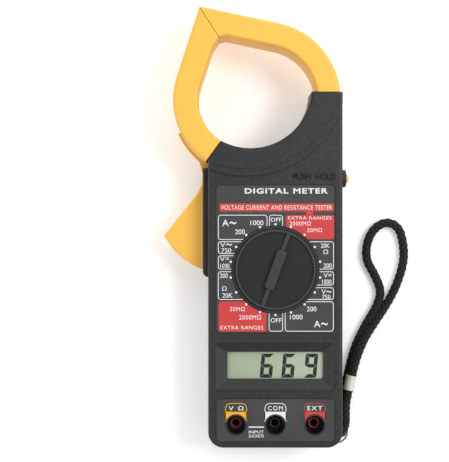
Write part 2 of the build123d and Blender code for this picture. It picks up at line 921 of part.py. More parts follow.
def dial_knob():
    """Round knob with a rim, a sunk face and a pointer bar across it."""
    knob = rod((0, 0), dial_radius, dial_seat_z + 0.3, knob_rim_z)
    knob = fillet(knob.edges().sort_by(Axis.Z)[-1], 0.6)
    knob -= rod((0, 0), dial_radius - knob_rim_width, knob_face_z, far / 2)
    wide = RectangleRounded(bar_width, bar_length, 1.6)
    long = Rectangle(stem_width, 2 * (dial_radius - knob_rim_width / 2))
    bar = raise_plan(wide, knob_face_z - 0.5, knob_top_z)
    bar = fillet(bar.faces().sort_by(Axis.Z)[-1].edges(), 0.7)
    stem = raise_plan(long, knob_face_z - 0.5, knob_rim_z + 0.6)
    stem = stem & rod((0, 0), dial_radius - 0.7, 0, far / 2)
    stem = fillet(stem.faces().sort_by(Axis.Z)[-1].edges().filter_by(Axis.Y), 0.5)
    top = bar + stem
    top -= rod((0, bar_length / 2 - 2.6), 0.75, knob_top_z - 0.35, far / 2)
    knob += Rot(0, 0, bar_angle) * top
    hub = rod((0, 0), dial_hub_radius, rotor_top_z, dial_seat_z + 0.3)
    hub += rod((0, 0), 4.0, rotor_bottom_z + 0.8, rotor_top_z)
    return knob + hub


def detent_angles():
    return [bar_angle + 90, bar_angle + 270]


def dial_rotor():
    """Rotor behind the face that carries the wipers and the two detent balls."""
    rotor = rod((0, 0), rotor_radius, rotor_bottom_z, rotor_top_z - 0.25)
    rotor -= rod((0, 0), 4.0, 0, far / 2)
    middle_z = (rotor_bottom_z + rotor_top_z - 0.25) / 2
    for angle in detent_angles():
        pocket = Rot(0, 0, angle) * Pos(rotor_radius, 0, middle_z) * Rot(0, 90, 0)
        rotor -= pocket * Cylinder(1.05, 12)
    return rotor


def detent_pieces():
    """Ball and spring of each detent."""
    balls = []
    springs = []
    middle_z = (rotor_bottom_z + rotor_top_z - 0.25) / 2
    for angle in detent_angles():
        turn = Rot(0, 0, angle)
        balls.append(turn * Pos(rotor_radius + 0.2, 0, middle_z) * Sphere(1.0))
        for ring in range(5):
            place = turn * Pos(8.6 + 0.9 * ring, 0, middle_z) * Rot(0, 90, 0)
            springs.append(place * Torus(0.75, 0.2))
    return balls, springs


def wiper_contacts():
    """Forked spring blades that sweep the board's tracks."""
    board_top = board_bottom_z + board_thickness
    blades = []
    for angle in (0, 120, 240):
        turn = Rot(0, 0, angle + 40)
        blade = block(5.5, 12.5, -1.8, 1.8, rotor_bottom_z - 0.45, rotor_bottom_z)
        blade -= block(7.0, 13.0, -0.4, 0.4, 0, far)
        tip = block(11.3, 12.5, 0.4, 1.8, board_top + 0.1, rotor_bottom_z)
        other = block(11.3, 12.5, -1.8, -0.4, board_top + 0.1, rotor_bottom_z)
        blades.append(turn * (blade + tip + other))
    return blades


# ---------------------------------------------------------------- labels and display

def front_label():
    plate = round_plate(
        -label_half + label_play,
        label_half - label_play,
        label_low_y + label_play,
        label_top_y - label_play,
        label_corner - label_play,
    )
    plate -= Circle(dial_bezel_radius + label_play)
    bottom = face_z - label_depth
    return raise_plan(plate, bottom, bottom + label_thickness)


def rear_label():
    low = rear_label_depth - rear_label_thickness
    return raise_plan(rear_label_plan(label_play), low, rear_label_depth)


def jack_label():
    plate = round_plate(
        -label_half + label_play,
        label_half - label_play,
        jack_label_low_y + label_play,
        jack_label_top_y - label_play,
        label_corner - label_play,
    )
    for place in jack_places():
        plate -= Pos(*place) * Circle(guard_radius + label_play)
    bottom = face_z - label_depth
    return raise_plan(plate, bottom, bottom + label_thickness)


def window_plate(grow, low, high):
    return block(
        -window_half - grow, window_half + grow, window_low_y - grow, window_top_y + grow, low, high
    )


def lens_top():
    return face_z - face_wall - 0.05


def display_lens():
    return window_plate(lens_lap, lens_top() - lens_thickness, lens_top())


def display_glass():
    top = lens_top() - lens_thickness - 0.15
    return window_plate(lens_lap + 0.5, top - lcd_thickness, top)


def display_frame():
    """Frame that holds the display and its rubber strips on the board."""
    board_top = board_bottom_z + board_thickness
    frame = window_plate(4.0, board_top + 0.05, lens_top())
    frame -= window_plate(lens_lap + 0.1, lens_top() - lens_thickness - 0.1, far)
    frame -= window_plate(lens_lap + 0.6, 0, lens_top() - lens_thickness - 0.1)
    return frame


def contact_strips():
    board_top = board_bottom_z + board_thickness
    top = lens_top() - lens_thickness - 0.15 - lcd_thickness
    return [
        block(-window_half, window_half, y - 0.9, y + 0.9, board_top + 0.02, top - 0.02)
        for y in (window_low_y + 0.2, window_top_y - 0.2)
    ]


# ---------------------------------------------------------------- board

def main_board():
    low, high = board_bottom_z, board_bottom_z + board_thickness
    board = block(-board_half, board_half, board_low_y, board_top_y, low, high)
    board += block(board_ear_x, board_ear_end_x, board_top_y - 1, board_ear_y, low, high)
    for place in board_screw_places():
        board -= rod(place, 1.1, 0, far)
    for place in screw_places():
        board -= rod(place, boss_radius + 0.5, 0, far)
    return board


def under_board(x, y, wide, long, height):
    """Block on the rear of the board."""
    low = board_bottom_z - height
    return block(x - wide / 2, x + wide / 2, y - long / 2, y + long / 2, low, board_bottom_z)


def converter_chip():
    middle_y = (chip_low_y + chip_high_y) / 2
    return under_board(0, middle_y, chip_width, chip_high_y - chip_low_y, chip_height)


def trim_pots():
    return [
        under_board(x, trimmer_y, trimmer_size, trimmer_size, trimmer_height)
        for x in trimmer_places
    ]


def film_capacitors():
    return [under_board(x, film_y, film_long, film_wide, film_height) for x in film_places]


def electrolytic_capacitors():
    low = board_bottom_z - can_height
    return [rod((x, can_y), can_radius, low, board_bottom_z) for x in can_places]


def resistors():
    """Two rows of five resistors, a little off the board."""
    z = board_bottom_z - resistor_radius - 0.1
    bodies = []
    for column in range(5):
        for row in range(2):
            x = resistor_first[0] + resistor_pitch[0] * column
            y = resistor_first[1] - resistor_pitch[1] * row
            bodies.append(Pos(x, y, z) * Rot(90, 0, 0) * Cylinder(resistor_radius, resistor_long))
    return bodies


def hold_switch():
    """Push switch on the front of the board, its plunger towards the hold button."""
    board_top = board_bottom_z + board_thickness
    switch = block(20.4, 28.2, button_y - 3.0, button_y + 2.8, board_top, board_top + 3.4)
    plunger = Pos(28.7, button_y, button_z + 1.8) * Rot(0, 90, 0) * Cylinder(0.9, 1.4)
    return switch + plunger


def hold_button():
    """Round domed button with a flange that keeps it in the case."""
    tip = half_width + button_out
    root = half_width - case_wall - 1.8
    axis = Rot(0, 90, 0)
    stem = Pos((tip + root) / 2, button_y, button_z) * axis * Cylinder(button_radius, tip - root)
    stem = fillet(stem.edges().sort_by(Axis.X)[-1], 1.1)
    flange = Pos(root + 0.7, button_y, button_z) * axis * Cylinder(button_radius + 1.0, 1.4)
    return stem + flange


def screw(place, seat, length, radius, head_radius, head_height):
    """Pan head screw driven up from the back, with a cross recess."""
    head = rod(place, head_radius, seat - head_height, seat)
    head = fillet(head.edges().sort_by(Axis.Z)[0], head_height * 0.45)
    depth = seat - head_height * 0.45
    for wide, deep in ((0.7, 3.0), (3.0, 0.7)):
        head -= block(
            place[0] - wide * head_radius / 4,
            place[0] + wide * head_radius / 4,
            place[1] - deep * head_radius / 4,
            place[1] + deep * head_radius / 4,
            seat - head_height - 1,
            depth,
        )
    return head + rod(place, radius, seat, seat + length)


# ---------------------------------------------------------------- jacks

def jack_sleeve(place):
    """Coloured plastic sleeve of one socket."""
    sleeve = rod(place, sleeve_radius, sleeve_bottom_z, sleeve_top_z)
    sleeve = fillet(sleeve.edges().sort_by(Axis.Z)[-1], 0.4)
    flange_top = well_floor_z - well_floor - 0.05
    sleeve += rod(place, sleeve_flange_radius, flange_top - 1.4, flange_top)
    contact_outer = plug_bore_radius + contact_wall
    sleeve -= rod(place, plug_bore_radius, 0, far)
    return sleeve - rod(place, contact_outer + 0.02, 0, contact_top_z)


def jack_contact(place):
    outer = plug_bore_radius + contact_wall
    contact = tube(place, outer, plug_bore_radius, contact_bottom_z, contact_top_z)
    contact -= block(place[0] - 0.3, place[0] + 0.3, place[1], place[1] + 5, 12.5, contact_top_z + 1)
    return contact + rod(place, outer, contact_bottom_z - 1.0, contact_bottom_z + 0.2)


def wire(points, radius, bend):
    """Insulated wire on straight runs and round bends."""
    path = FilletPolyline(*points, radius=bend)
    start = Plane(origin=path @ 0, z_dir=path % 0)
    return sweep(start * Circle(radius), path=path)


def jack_wire(place):
    """Lead from the foot of a contact up to the board."""
    x, y = place
    foot_z = contact_bottom_z - 0.2
    run_z = board_bottom_z - 3.0
    points = (
        (x, y + plug_bore_radius + contact_wall, foot_z),
        (x, y + 7.0, foot_z),
        (x, y + 7.0, run_z),
        (x, y + 18.0, run_z),
        (x, y + 18.0, board_bottom_z),
    )
    return wire(points, wire_radius, 2 * wire_radius)


# ---------------------------------------------------------------- battery

def battery_cell():
    """Nine volt block lying across the meter, its two studs to the right."""
    x0 = battery_x - battery_long / 2
    x1 = battery_x + battery_long / 2
    y0 = battery_y - battery_wide / 2
    y1 = battery_y + battery_wide / 2
    cell = block(x0, x1, y0, y1, battery_bottom_z, battery_bottom_z + battery_deep)
    cell = fillet(cell.edges().filter_by(Axis.X), 2.0)
    middle_z = battery_bottom_z + battery_deep / 2
    for side, radius in ((-1, 2.8), (1, 3.4)):
        stud = Pos(x1 + 1.0, battery_y + side * 6.35, middle_z) * Rot(0, 90, 0)
        cell += stud * Cylinder(radius, 2.4)
    return cell


def battery_foam():
    """Pad that keeps the battery from rattling against the board."""
    low = battery_bottom_z + battery_deep + 0.05
    return block(-11, 11, battery_y - 7, battery_y + 7, low, board_bottom_z - 0.05)


def battery_snap():
    x0 = battery_x + battery_long / 2 + 2.4
    middle_z = battery_bottom_z + battery_deep / 2
    snap = block(x0, x0 + 3.0, battery_y - 12.5, battery_y + 12.5, middle_z - 6.5, middle_z + 6.5)
    return fillet(snap.edges().filter_by(Axis.X), 3.0)


def battery_wire(side):
    x0 = battery_x + battery_long / 2 + 5.5
    middle_z = battery_bottom_z + battery_deep / 2
    y = battery_y + side * 6.0
    points = (
        (x0 - 0.1, y, middle_z + 2),
        (x0 + 2.2, y, middle_z + 2),
        (x0 + 2.2, y, 21.6),
        (x0 - 3.5, y + 10.0, 21.6),
        (x0 - 3.5, y + 10.0, board_bottom_z),
    )
    return wire(points, wire_radius, 1.2)


# ---------------------------------------------------------------- strap

def route_radii(points):
    """Bend radius at each inner point of the cord's middle line."""
    radii = []
    for before, here, after in zip(points, points[1:], points[2:]):
        run_in = Vector(*here) - Vector(*before)
        run_out = Vector(*after) - Vector(*here)
        turn = math.radians(run_in.get_angle(run_out))
        shorter = min(run_in.length, run_out.length)
        radii.append(0.45 * shorter / math.tan(turn / 2))
    return radii


def strap_cord():
    """Braided cord, its two ends meeting inside the band."""
    radii = route_radii(cord_route)
    path = FilletPolyline(*cord_route, radius=radii)
    start = Plane(origin=path @ 0, z_dir=path % 0)
    cord = sweep(start * Circle(cord_diameter / 2), path=path)
    section = math.pi * cord_diameter**2 / 4
    print("strap cord length", round(path.length, 1), "tightest bend", round(min(radii), 1))
    print("strap cord volume over section times length", round(cord.volume / section / path.length, 3))
    print("strap cord radii", [round(radius, 1) for radius in radii])
    return cord


def strap_band():
    """Crimped metal band over the joined ends of the cord."""
    first, last = Vector(*cord_route[0]), Vector(*cord_route[-1])
    middle = (first + last) * 0.5
    inner = cord_diameter / 2 + band_play
    band = Cylinder(inner + band_wall, band_length) - Cylinder(inner, band_length + 2)
    return Pos(*middle) * Rot(0, 0, band_tilt) * Rot(90, 0, 0) * band


def strap_ring():
    return Pos(*ring_centre, ring_z) * Torus(ring_radius, ring_wire)


# ---------------------------------------------------------------- write the pieces

outside = case_outside()
cavity = case_cavity()
save("front_case", front_case(outside, cavity))
save("rear_case", rear_case(outside, cavity))
save("battery_door", battery_door(outside))

save("fixed_jaw_front", fixed_shell(jaw_split_z, jaw_front_z, "front"))
save("fixed_jaw_rear", fixed_shell(jaw_back_z, jaw_split_z, "rear"))
save("fixed_core", fixed_core())
save("coil_bobbin", coil_bobbin())
save("pickup_coil", pickup_coil())
save("coil_leads", Compound(children=coil_leads()))
save("moving_jaw_front", moving_jaw_front())
save("moving_jaw_rear", moving_jaw_rear())
save("moving_core", moving_core())
save("pivot_pin", rod(pivot, pin_radius, pin_bottom_z, pin_top_z))
save("jaw_spring", jaw_spring())

save("dial_knob", dial_knob())
save("dial_rotor", dial_rotor())
balls, springs = detent_pieces()
save("detent_balls", Compound(children=balls))
save("detent_springs", Compound(children=springs))
save("wiper_contacts", Compound(children=wiper_contacts()))

save("front_label", front_label())
save("jack_label", jack_label())
save("rear_label", rear_label())
save("display_lens", display_lens())
save("display_glass", display_glass())
save("display_frame", display_frame())
save("contact_strips", Compound(children=contact_strips()))

save("main_board", main_board())
save("converter_chip", converter_chip())
save("trim_pots", Compound(children=trim_pots()))
save("film_capacitors", Compound(children=film_capacitors()))
save("electrolytic_capacitors", Compound(children=electrolytic_capacitors()))
save("resistors", Compound(children=resistors()))

sleeves = [jack_sleeve(place) for place in jack_places()]
save("red_jack_sleeves", Compound(children=[sleeves[0], sleeves[2]]))
save("black_jack_sleeve", sleeves[1])
save("jack_contacts", Compound(children=[jack_contact(place) for place in jack_places()]))
save("jack_wires", Compound(children=[jack_wire(place) for place in jack_places()]))

save("hold_switch", hold_switch())
save("hold_button", hold_button())
save("battery", battery_cell())
save("battery_foam", battery_foam())
save("battery_snap", battery_snap())
save("red_battery_wire", battery_wire(1))
save("black_battery_wire", battery_wire(-1))

case_screws = [
    screw(place, screw_seat_z, screw_length, screw_radius, screw_head_radius, screw_head_height)
    for place in screw_places()
]
save("case_screws", Compound(children=case_screws))
board_screws = [
    screw(place, board_bottom_z, 5.5, board_screw_radius, 2.0, 1.4) for place in board_screw_places()
]
save("board_screws", Compound(children=board_screws))

save("strap_ring", strap_ring())
save("strap_post", rod(post_at, post_radius, post_bottom_z, post_top_z))
save("strap_cord", strap_cord())
save("strap_band", strap_band())
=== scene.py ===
"""Clamp meter: its printed labels, display figures, moulded lettering, wrist strap and finishes."""

import math

import bpy
from bpy.props import FloatProperty, FloatVectorProperty, IntProperty, PointerProperty
from bpy.types import Operator, Panel, PropertyGroup
from mathutils import Matrix, Vector


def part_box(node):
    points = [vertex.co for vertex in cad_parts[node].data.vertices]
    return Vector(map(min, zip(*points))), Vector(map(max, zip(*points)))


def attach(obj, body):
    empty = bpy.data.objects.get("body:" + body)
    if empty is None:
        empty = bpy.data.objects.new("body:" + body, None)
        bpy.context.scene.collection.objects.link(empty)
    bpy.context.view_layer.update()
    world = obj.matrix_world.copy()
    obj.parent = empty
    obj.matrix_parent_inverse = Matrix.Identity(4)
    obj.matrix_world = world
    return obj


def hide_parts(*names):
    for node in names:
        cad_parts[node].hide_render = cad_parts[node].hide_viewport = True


bl_info = {
    "name": "Clamp Meter",
    "version": (1, 0, 0),
    "blender": (4, 5, 0),
    "location": "3D View > Sidebar > Meter",
    "description": "Labels, figures, wrist strap and finishes of a clamp meter",
    "category": "Object",
}

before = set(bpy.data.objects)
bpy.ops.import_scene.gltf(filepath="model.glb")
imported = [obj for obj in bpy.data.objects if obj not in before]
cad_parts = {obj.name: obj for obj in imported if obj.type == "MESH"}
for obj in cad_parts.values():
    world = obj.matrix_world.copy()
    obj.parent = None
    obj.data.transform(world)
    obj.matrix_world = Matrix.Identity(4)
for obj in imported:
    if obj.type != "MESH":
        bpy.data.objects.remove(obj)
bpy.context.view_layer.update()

MM = 0.001
FRONT_FACE = 33.5 * MM
CONTACT_RADIUS = 2.5 * MM

label_low, label_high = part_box("front_label")
jack_low, jack_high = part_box("jack_label")
glass_low, glass_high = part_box("display_glass")
lens_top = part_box("display_lens")[1].z
contact_low, contact_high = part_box("jack_contacts")
door_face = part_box("battery_door")[0].z
rear_low, rear_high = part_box("rear_label")
band_low, band_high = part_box("strap_band")
case_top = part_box("front_case")[1].z

# Middle line of the wrist strap's cord, from the band round the eye and the ring and back
CORD_ROUTE = (
    (41.7, -61.6, 8.2),
    (43.0, -55.0, 8.2),
    (45.6, -46.5, 7.4),
    (49.8, -37.5, 5.2),
    (55.8, -29.0, 2.8),
    (62.2, -19.5, 2.5),
    (67.2, -10.0, 2.5),
    (71.4, 3.0, 2.5),
    (71.2, 13.0, 2.5),
    (68.6, 22.6, 2.5),
    (60.8, 25.6, 2.5),
    (52.4, 18.8, 2.5),
    (50.0, 5.6, 2.5),
    (55.6, -4.0, 2.5),
    (59.2, -13.0, 2.5),
    (56.4, -21.5, 2.5),
    (50.8, -30.5, 2.5),
    (45.4, -41.0, 2.5),
    (42.2, -51.5, 2.5),
    (39.9, -62.0, 2.5),
    (38.5, -71.0, 2.5),
    (38.4, -77.5, 3.0),
    (38.3, -83.6, 4.4),
    (36.0, -88.9, 6.4),
    (36.3, -88.9, 12.6),
    (38.3, -83.6, 14.4),
    (38.5, -78.6, 12.6),
    (38.9, -73.4, 9.4),
    (40.0, -68.4, 8.3),
    (41.3, -62.3, 8.2),
)

# Crimped band: depths as shares of its radius, where its rolled ends start, and dents for each metre
BAND_PINCH, BAND_ROLL, BAND_DENT = 0.045, 0.02, 0.02
BAND_ROLL_FROM = 0.86
BAND_DENTS_ALONG = 900

# Figures on the front label: words, left, right, low and high edge in millimetres from the dial's axis
RANGE_FIGURES = (
    ("OFF", -2.5, 3.2, 25.0, 27.1),
    ("OFF", -2.5, 3.2, -27.5, -25.2),
    ("A", -27.7, -24.3, 22.6, 26.0),
    ("~", -23.9, -20.4, 23.6, 25.0),
    ("1000", -13.0, -6.2, 23.1, 25.6),
    ("200", -21.0, -15.9, 18.4, 21.0),
    ("V", -28.7, -26.1, 11.6, 14.0),
    ("~", -25.7, -22.6, 12.5, 13.6),
    ("750", -28.1, -23.0, 8.8, 11.1),
    ("V", -28.9, -26.4, 4.3, 6.7),
    ("=", -26.0, -24.2, 5.2, 6.3),
    ("1000", -28.6, -23.9, 0.9, 3.1),
    ("200", -28.9, -24.8, -4.3, -1.9),
    ("Ω", -27.8, -25.4, -11.0, -8.6),
    ("20K", -27.6, -22.3, -14.6, -12.2),
    ("20K", 23.6, 28.2, 11.3, 13.6),
    ("Ω", 24.9, 27.4, 8.1, 10.5),
    ("200", 25.0, 29.3, 0.9, 3.3),
    ("V", 25.0, 27.2, -4.2, -1.8),
    ("=", 27.5, 29.2, -3.4, -2.3),
    ("1000", 24.3, 29.2, -7.5, -5.1),
    ("V", 23.9, 26.2, -12.7, -10.3),
    ("~", 26.5, 29.1, -12.0, -11.0),
    ("750", 24.3, 28.6, -15.3, -13.1),
    ("200", 16.3, 21.4, -21.7, -19.2),
    ("1000", 7.6, 14.1, -25.9, -23.4),
    ("A", 20.0, 23.4, -30.0, -26.6),
    ("~", 23.8, 27.2, -28.9, -27.5),
)
PANEL_FIGURES = (
    ("VOLTAGE CURRENT AND RESISTANCE TESTER", -28.3, 29.5, 31.2, 33.5),
    ("EXTRA RANGES", 6.6, 29.2, 26.1, 27.7),
    ("2000MΩ", 7.4, 18.4, 22.9, 25.2),
    ("20MΩ", 16.4, 24.2, 19.5, 21.7),
    ("20MΩ", -23.8, -15.9, -21.6, -19.3),
    ("2000MΩ", -18.9, -7.5, -26.0, -23.5),
    ("EXTRA RANGES", -28.6, -6.3, -31.1, -29.2),
)
TITLE = ("DIGITAL METER", -16.0, 27.3, 39.5, 42.4)

# Outlined fields and filled panels on the front label: left, right, low, high
FIELDS = (
    (-29.9, -4.2, 15.5, 28.5),
    (-3.3, 3.9, 14.0, 28.5),
    (-29.9, -10.0, 8.2, 14.7),
    (-29.9, -10.0, 0.1, 7.4),
    (-29.9, -10.0, -15.7, -0.9),
    (10.0, 30.4, 0.1, 14.7),
    (10.0, 30.4, -8.2, -0.9),
    (10.0, 30.4, -15.7, -9.2),
    (4.9, 30.3, -32.2, -16.5),
    (-3.5, 3.9, -32.2, -14.0),
)
PANELS = (
    (-29.1, 30.4, 30.3, 34.4),
    (16.0, 19.6, 28.3, 30.3),
    (5.5, 30.5, 15.9, 28.3),
    (-29.6, -4.7, -32.2, -16.6),
)
PANEL_CORNERS = (0.9, 0.0, 0.9, 0.9)
LABEL_CORNER = 2.35 * MM

# Which of the seven bars each figure lights: top, upper left and right, middle, lower left and right, bottom
SIX = (1, 1, 0, 1, 1, 1, 1)
NINE = (1, 1, 1, 1, 0, 1, 1)
READING = ((SIX, -8.2), (SIX, 3.1), (NINE, 14.9))
BAR_ROUNDING = 0.16
BAR_RISE = 0.03 * MM

# Dark lines round the window and its frame, painted shade along their edges
SHADE_LINE_RISE = 0.02 * MM
WINDOW_SHADE_CORNER = 1.2 * MM
FRAME_CORNER = 2.6 * MM

# Arches over the sockets: corner, and the zone at the foot that is pressed flat to a share of its height
ARCH_CORNER = 2.4 * MM
ARCH_FOOT_ZONE = 2.5 * MM
ARCH_FOOT_SHARE = 0.4

# Marks between the sockets: a rule, its words and the middles of the triangles
SOCKET_RULE = (-13.9, -5.9, -82.2, -81.6)
SOCKET_WORDS = (("INPUT", -13.9, -6.1, -85.2, -83.7), ("SOCKETS", -13.9, -6.1, -87.3, -85.8))
TRIANGLES = ((-9.8, -73.7), (-9.8, -79.3), (10.8, -79.3))

# Moulded words by the button, and the word and the arrow's middle on the battery door
BUTTON_WORDS = (("PUSH", 9.2, 18.2, 46.8, 50.0), ("HOLD", 21.2, 31.2, 46.8, 50.0))
DOOR_WORDS = (("OPEN", -7.0, 7.0, -56.0, -52.5),)
DOOR_ARROW_Y = -62.0
DOOR_LETTER_RISE = 0.12 * MM
LETTER_ROOT = 0.05 * MM

# Rear label: thickness of its ink, margin and rows
REAR_INK = 0.03 * MM
REAR_MARGIN = 1.6 * MM
REAR_ROWS = 5

# Soft lights: name, place and side in metres, watts
LIGHTS = (
    ("key_light", (0.72, 0.22, 1.05), 0.5, 8.0),
    ("fill_light", (-0.85, -0.10, 0.95), 0.8, 3.5),
    ("rear_light", (0.05, 1.05, 0.95), 0.9, 4.4),
)


# ---------------------------------------------------------------- settings

def colour(label, about, value):
    """A colour that a user can change."""
    return FloatVectorProperty(
        name=label, description=about, default=value, subtype="COLOR", size=3, min=0.0, max=1.0
    )


def length(label, about, millimetres):
    """A length that a user can change, given in millimetres."""
    return FloatProperty(
        name=label, description=about, default=millimetres * MM, unit="LENGTH", min=0.0, precision=5
    )


class MeterPrintSettings(PropertyGroup):
    """Sizes of the printing on the labels."""

    ink: length("Ink", "How far the printing stands off its film", 0.02)
    line: length("Line", "Width of the printed lines", 0.36)
    # The dark lines along the labels' edges and round the dial are painted shade at the film's edges
    edge_shade: length("Border", "Width of the dark line along a label's edges", 0.45)
    corner: length("Corner", "Corner radius of the printed fields", 1.5)
    ring_gap: length("Ring gap", "Gap between the dial's ring and the printing", 0.6)
    dot_ring: length("Dot ring", "Radius of the ring of dots round the dial", 23.6)
    dot: length("Dot", "Diameter of one dot", 1.25)
    positions: IntProperty(name="Positions", description="Clicks of the dial", default=18, min=1)
    dial_ring: length("Dial ring", "Outer radius of the ring round the dial", 22.4)
    arch_half: length("Arch", "Half width of the arch over a socket", 5.65)
    arch_top: length("Arch top", "Height of an arch's top over its socket", 11.5)
    arch_fill: length("Arch fill", "Height of an arch's fill over its socket", 7.0)
    arch_foot: length("Arch foot", "Height of an arch's foot over its socket", 1.9)
    guard: length("Guard", "Outer radius of the ring round a socket", 5.72)
    name_gap: length("Name gap", "Gap between an arch's fill and the name over it", 0.7)
    name_half: length("Name", "Half width of the name over a socket", 3.9)
    name_height: length("Name height", "Height of the name over a socket", 2.3)
    triangle: length("Triangle", "Radius of a triangle's corners", 2.3)
    triangle_line: length("Triangle line", "Width of a triangle's outline", 0.4)
    letter_rise: length("Letter rise", "Height of the moulded letters", 0.3)
    arrow: length("Arrow", "Radius of the corners of the door's arrow", 4.0)


class MeterDisplaySettings(PropertyGroup):
    """Sizes of the figures in the display."""

    figure_width: length("Width", "Width of a figure, without its slant", 6.5)
    figure_low: length("Foot", "How far the figures stand over the window's low edge", 0.6)
    figure_height: length("Height", "Height of a figure", 12.6)
    bar: length("Bar", "Width of a bar", 1.95)
    gap: length("Gap", "Gap between two bars", 0.1)
    slant: FloatProperty(name="Slant", description="Sideways lean per unit of height", default=0.09)
    window_half: length("Window", "Half width of the window", 25.3)
    window_low: length("Window low", "How far the window's low edge lies below the dial's axis", 57.2)
    window_high: length("Window high", "How far the window's high edge lies below the dial's axis", 42.6)
    # Painted shade: the dark lines round the window and the frame
    mask: length("Mask", "Width of the black line round the window", 0.3)
    frame_half: length("Frame", "Half width of the sunk frame round the window", 31.2)
    frame_low: length("Frame low", "How far the frame's low edge lies below the dial's axis", 62.5)
    frame_high: length("Frame high", "How far the frame's high edge lies below the dial's axis", 38.3)
    frame_line: length("Frame line", "Width of the dark line round the frame", 0.4)


class MeterStrapSettings(PropertyGroup):
    """Sizes of the wrist strap."""

    cord: length("Cord", "Diameter of the cord", 4.8)
    cord_length: length("Length", "Length of the cord along its middle line", 257.0)
    strands: IntProperty(name="Strands", description="Strands that turn one way", default=5, min=2)
    pick: length("Pick", "Length of one crossing along the cord", 3.2)
    relief: length("Relief", "Depth of the grooves between the strands", 0.6)
    crown: length("Crown", "How far the strands stand proud of the cord", 0.1)
    facets: IntProperty(name="Facets", description="Faces round the cord", default=72, min=8)
    steps: IntProperty(name="Steps", description="Rings in each span of the route", default=32, min=2)


class MeterColours(PropertyGroup):
    """Colours of the finishes."""

    case: colour("Case", "Moulded case", (0.0145, 0.015, 0.0155))
    jaw: colour("Jaws", "Moulded jaws and trigger", (0.96, 0.52, 0.07))
    film: colour("Film", "Printed film of the labels", (0.038, 0.039, 0.040))
    knob: colour("Knob", "Range knob", (0.012, 0.0125, 0.013))
    white: colour("White ink", "White printing", (0.82, 0.82, 0.82))
    red: colour("Red ink", "Red printing", (0.60, 0.045, 0.042))
    amber: colour("Amber ink", "Amber printing", (0.90, 0.40, 0.01))
    display: colour("Display", "Display at rest", (0.385, 0.47, 0.31))
    figure: colour("Figure", "Display bars that are on", (0.012, 0.014, 0.013))
    sleeve: colour("Sleeve", "Red sockets", (0.45, 0.012, 0.015))
    cord: colour("Cord", "Braided cord", (0.0045, 0.0045, 0.005))
    band: colour("Band", "Metal band on the cord", (0.90, 0.84, 0.72))


class MeterStageSettings(PropertyGroup):
    """Floor, lights and camera."""

    floor: colour("Floor", "Floor under the meter", (0.93, 0.93, 0.93))
    floor_size: FloatProperty(name="Floor size", description="Side of the floor", default=6.0, unit="LENGTH")
    camera_rise: FloatProperty(
        name="Camera", description="Camera's distance from the front face", default=0.62, unit="LENGTH"
    )
    view_long: length("View", "What the long side of the picture takes in", 239.2)
    view_x: length("View x", "How far left of the dial's axis the camera stands", 26.5)
    view_y: length("View y", "How far above the dial's axis the camera stands", 20.1)


# ---------------------------------------------------------------- modelling

def only(*pieces):
    """Selects these objects alone and makes the first of them active."""
    bpy.ops.object.select_all(action="DESELECT")
    for piece in pieces:
        piece.select_set(True)
    if pieces:
        bpy.context.view_layer.objects.active = pieces[0]


def applied(piece, kind, **settings):
    """Gives a piece a modifier and applies it."""
    modifier = piece.modifiers.new(kind.lower(), kind)
    for name, value in settings.items():
        setattr(modifier, name, value)
    only(piece)
    bpy.ops.object.modifier_apply(modifier=modifier.name)
    return piece


def joined(name, pieces):
    """Joins pieces into one and names it."""
    only(*pieces)
    if len(pieces) > 1:
        bpy.ops.object.join()
    piece = bpy.context.view_layer.objects.active
    piece.name = name
    piece.data.name = name
    return piece


def plane(long, wide, place):
    """Flat rectangle with its middle at a place."""
    only()
    bpy.ops.mesh.primitive_plane_add(size=1.0, location=place)
    piece = bpy.context.object
    piece.scale = (long, wide, 1.0)
    bpy.ops.object.transform_apply()
    return piece


def polygon(corners, radius, place):
    """Flat regular polygon with its middle at a place."""
    only()
    bpy.ops.mesh.primitive_circle_add(vertices=corners, radius=radius, fill_type="NGON", location=place)
    bpy.ops.object.transform_apply()
    return bpy.context.object


def raised(piece, rise, corner=0.0, rim=0.0, steps=2):
    """Makes a flat piece a solid with round corners, whole or only its rim."""
    bpy.ops.object.mode_set(mode="EDIT")
    bpy.ops.mesh.select_all(action="SELECT")
    if corner:
        bpy.ops.mesh.bevel(affect="VERTICES", offset=corner, segments=steps)
        bpy.ops.mesh.select_all(action="SELECT")
    if rim:
        bpy.ops.mesh.inset(thickness=rim)
        bpy.ops.mesh.delete(type="FACE")
        bpy.ops.mesh.select_all(action="SELECT")
    bpy.ops.mesh.extrude_region_move(TRANSFORM_OT_translate={"value": (0, 0, rise)})
    bpy.ops.mesh.select_all(action="SELECT")
    bpy.ops.mesh.normals_make_consistent(inside=False)
    bpy.ops.object.mode_set(mode="OBJECT")
    return piece


def plate(edges, base, top, corner=0.0, rim=0.0, steps=5):
    """Thin plate between four edges and two heights, with round corners, whole or only its rim."""
    left, right, low, high = edges
    piece = plane(right - left, high - low, ((left + right) / 2, (low + high) / 2, base))
    return raised(piece, top - base, corner, rim, steps)


def copied(piece, place):
    """A copy of a piece at a place, with a mesh of its own."""
    copy = piece.copy()
    copy.data = piece.data.copy()
    copy.data.transform(Matrix.Translation(place))
    bpy.context.scene.collection.objects.link(copy)
    return copy


def repeated(piece, places):
    """Copies of a piece at places, instead of the piece."""
    copies = [copied(piece, place) for place in places]
    bpy.data.objects.remove(piece)
    return copies


def metres(values):
    """Values in metres from values in millimetres."""
    return [value * MM for value in values]


def without_disc(piece, centre, radius):
    """Cuts a round hole through a thin piece."""
    only()
    depth = 20 * MM
    bpy.ops.mesh.primitive_cylinder_add(vertices=128, radius=radius, depth=depth, location=centre)
    cutter = bpy.context.object
    applied(piece, "BOOLEAN", operation="DIFFERENCE", solver="EXACT", object=cutter)
    bpy.data.objects.remove(cutter)
    return piece


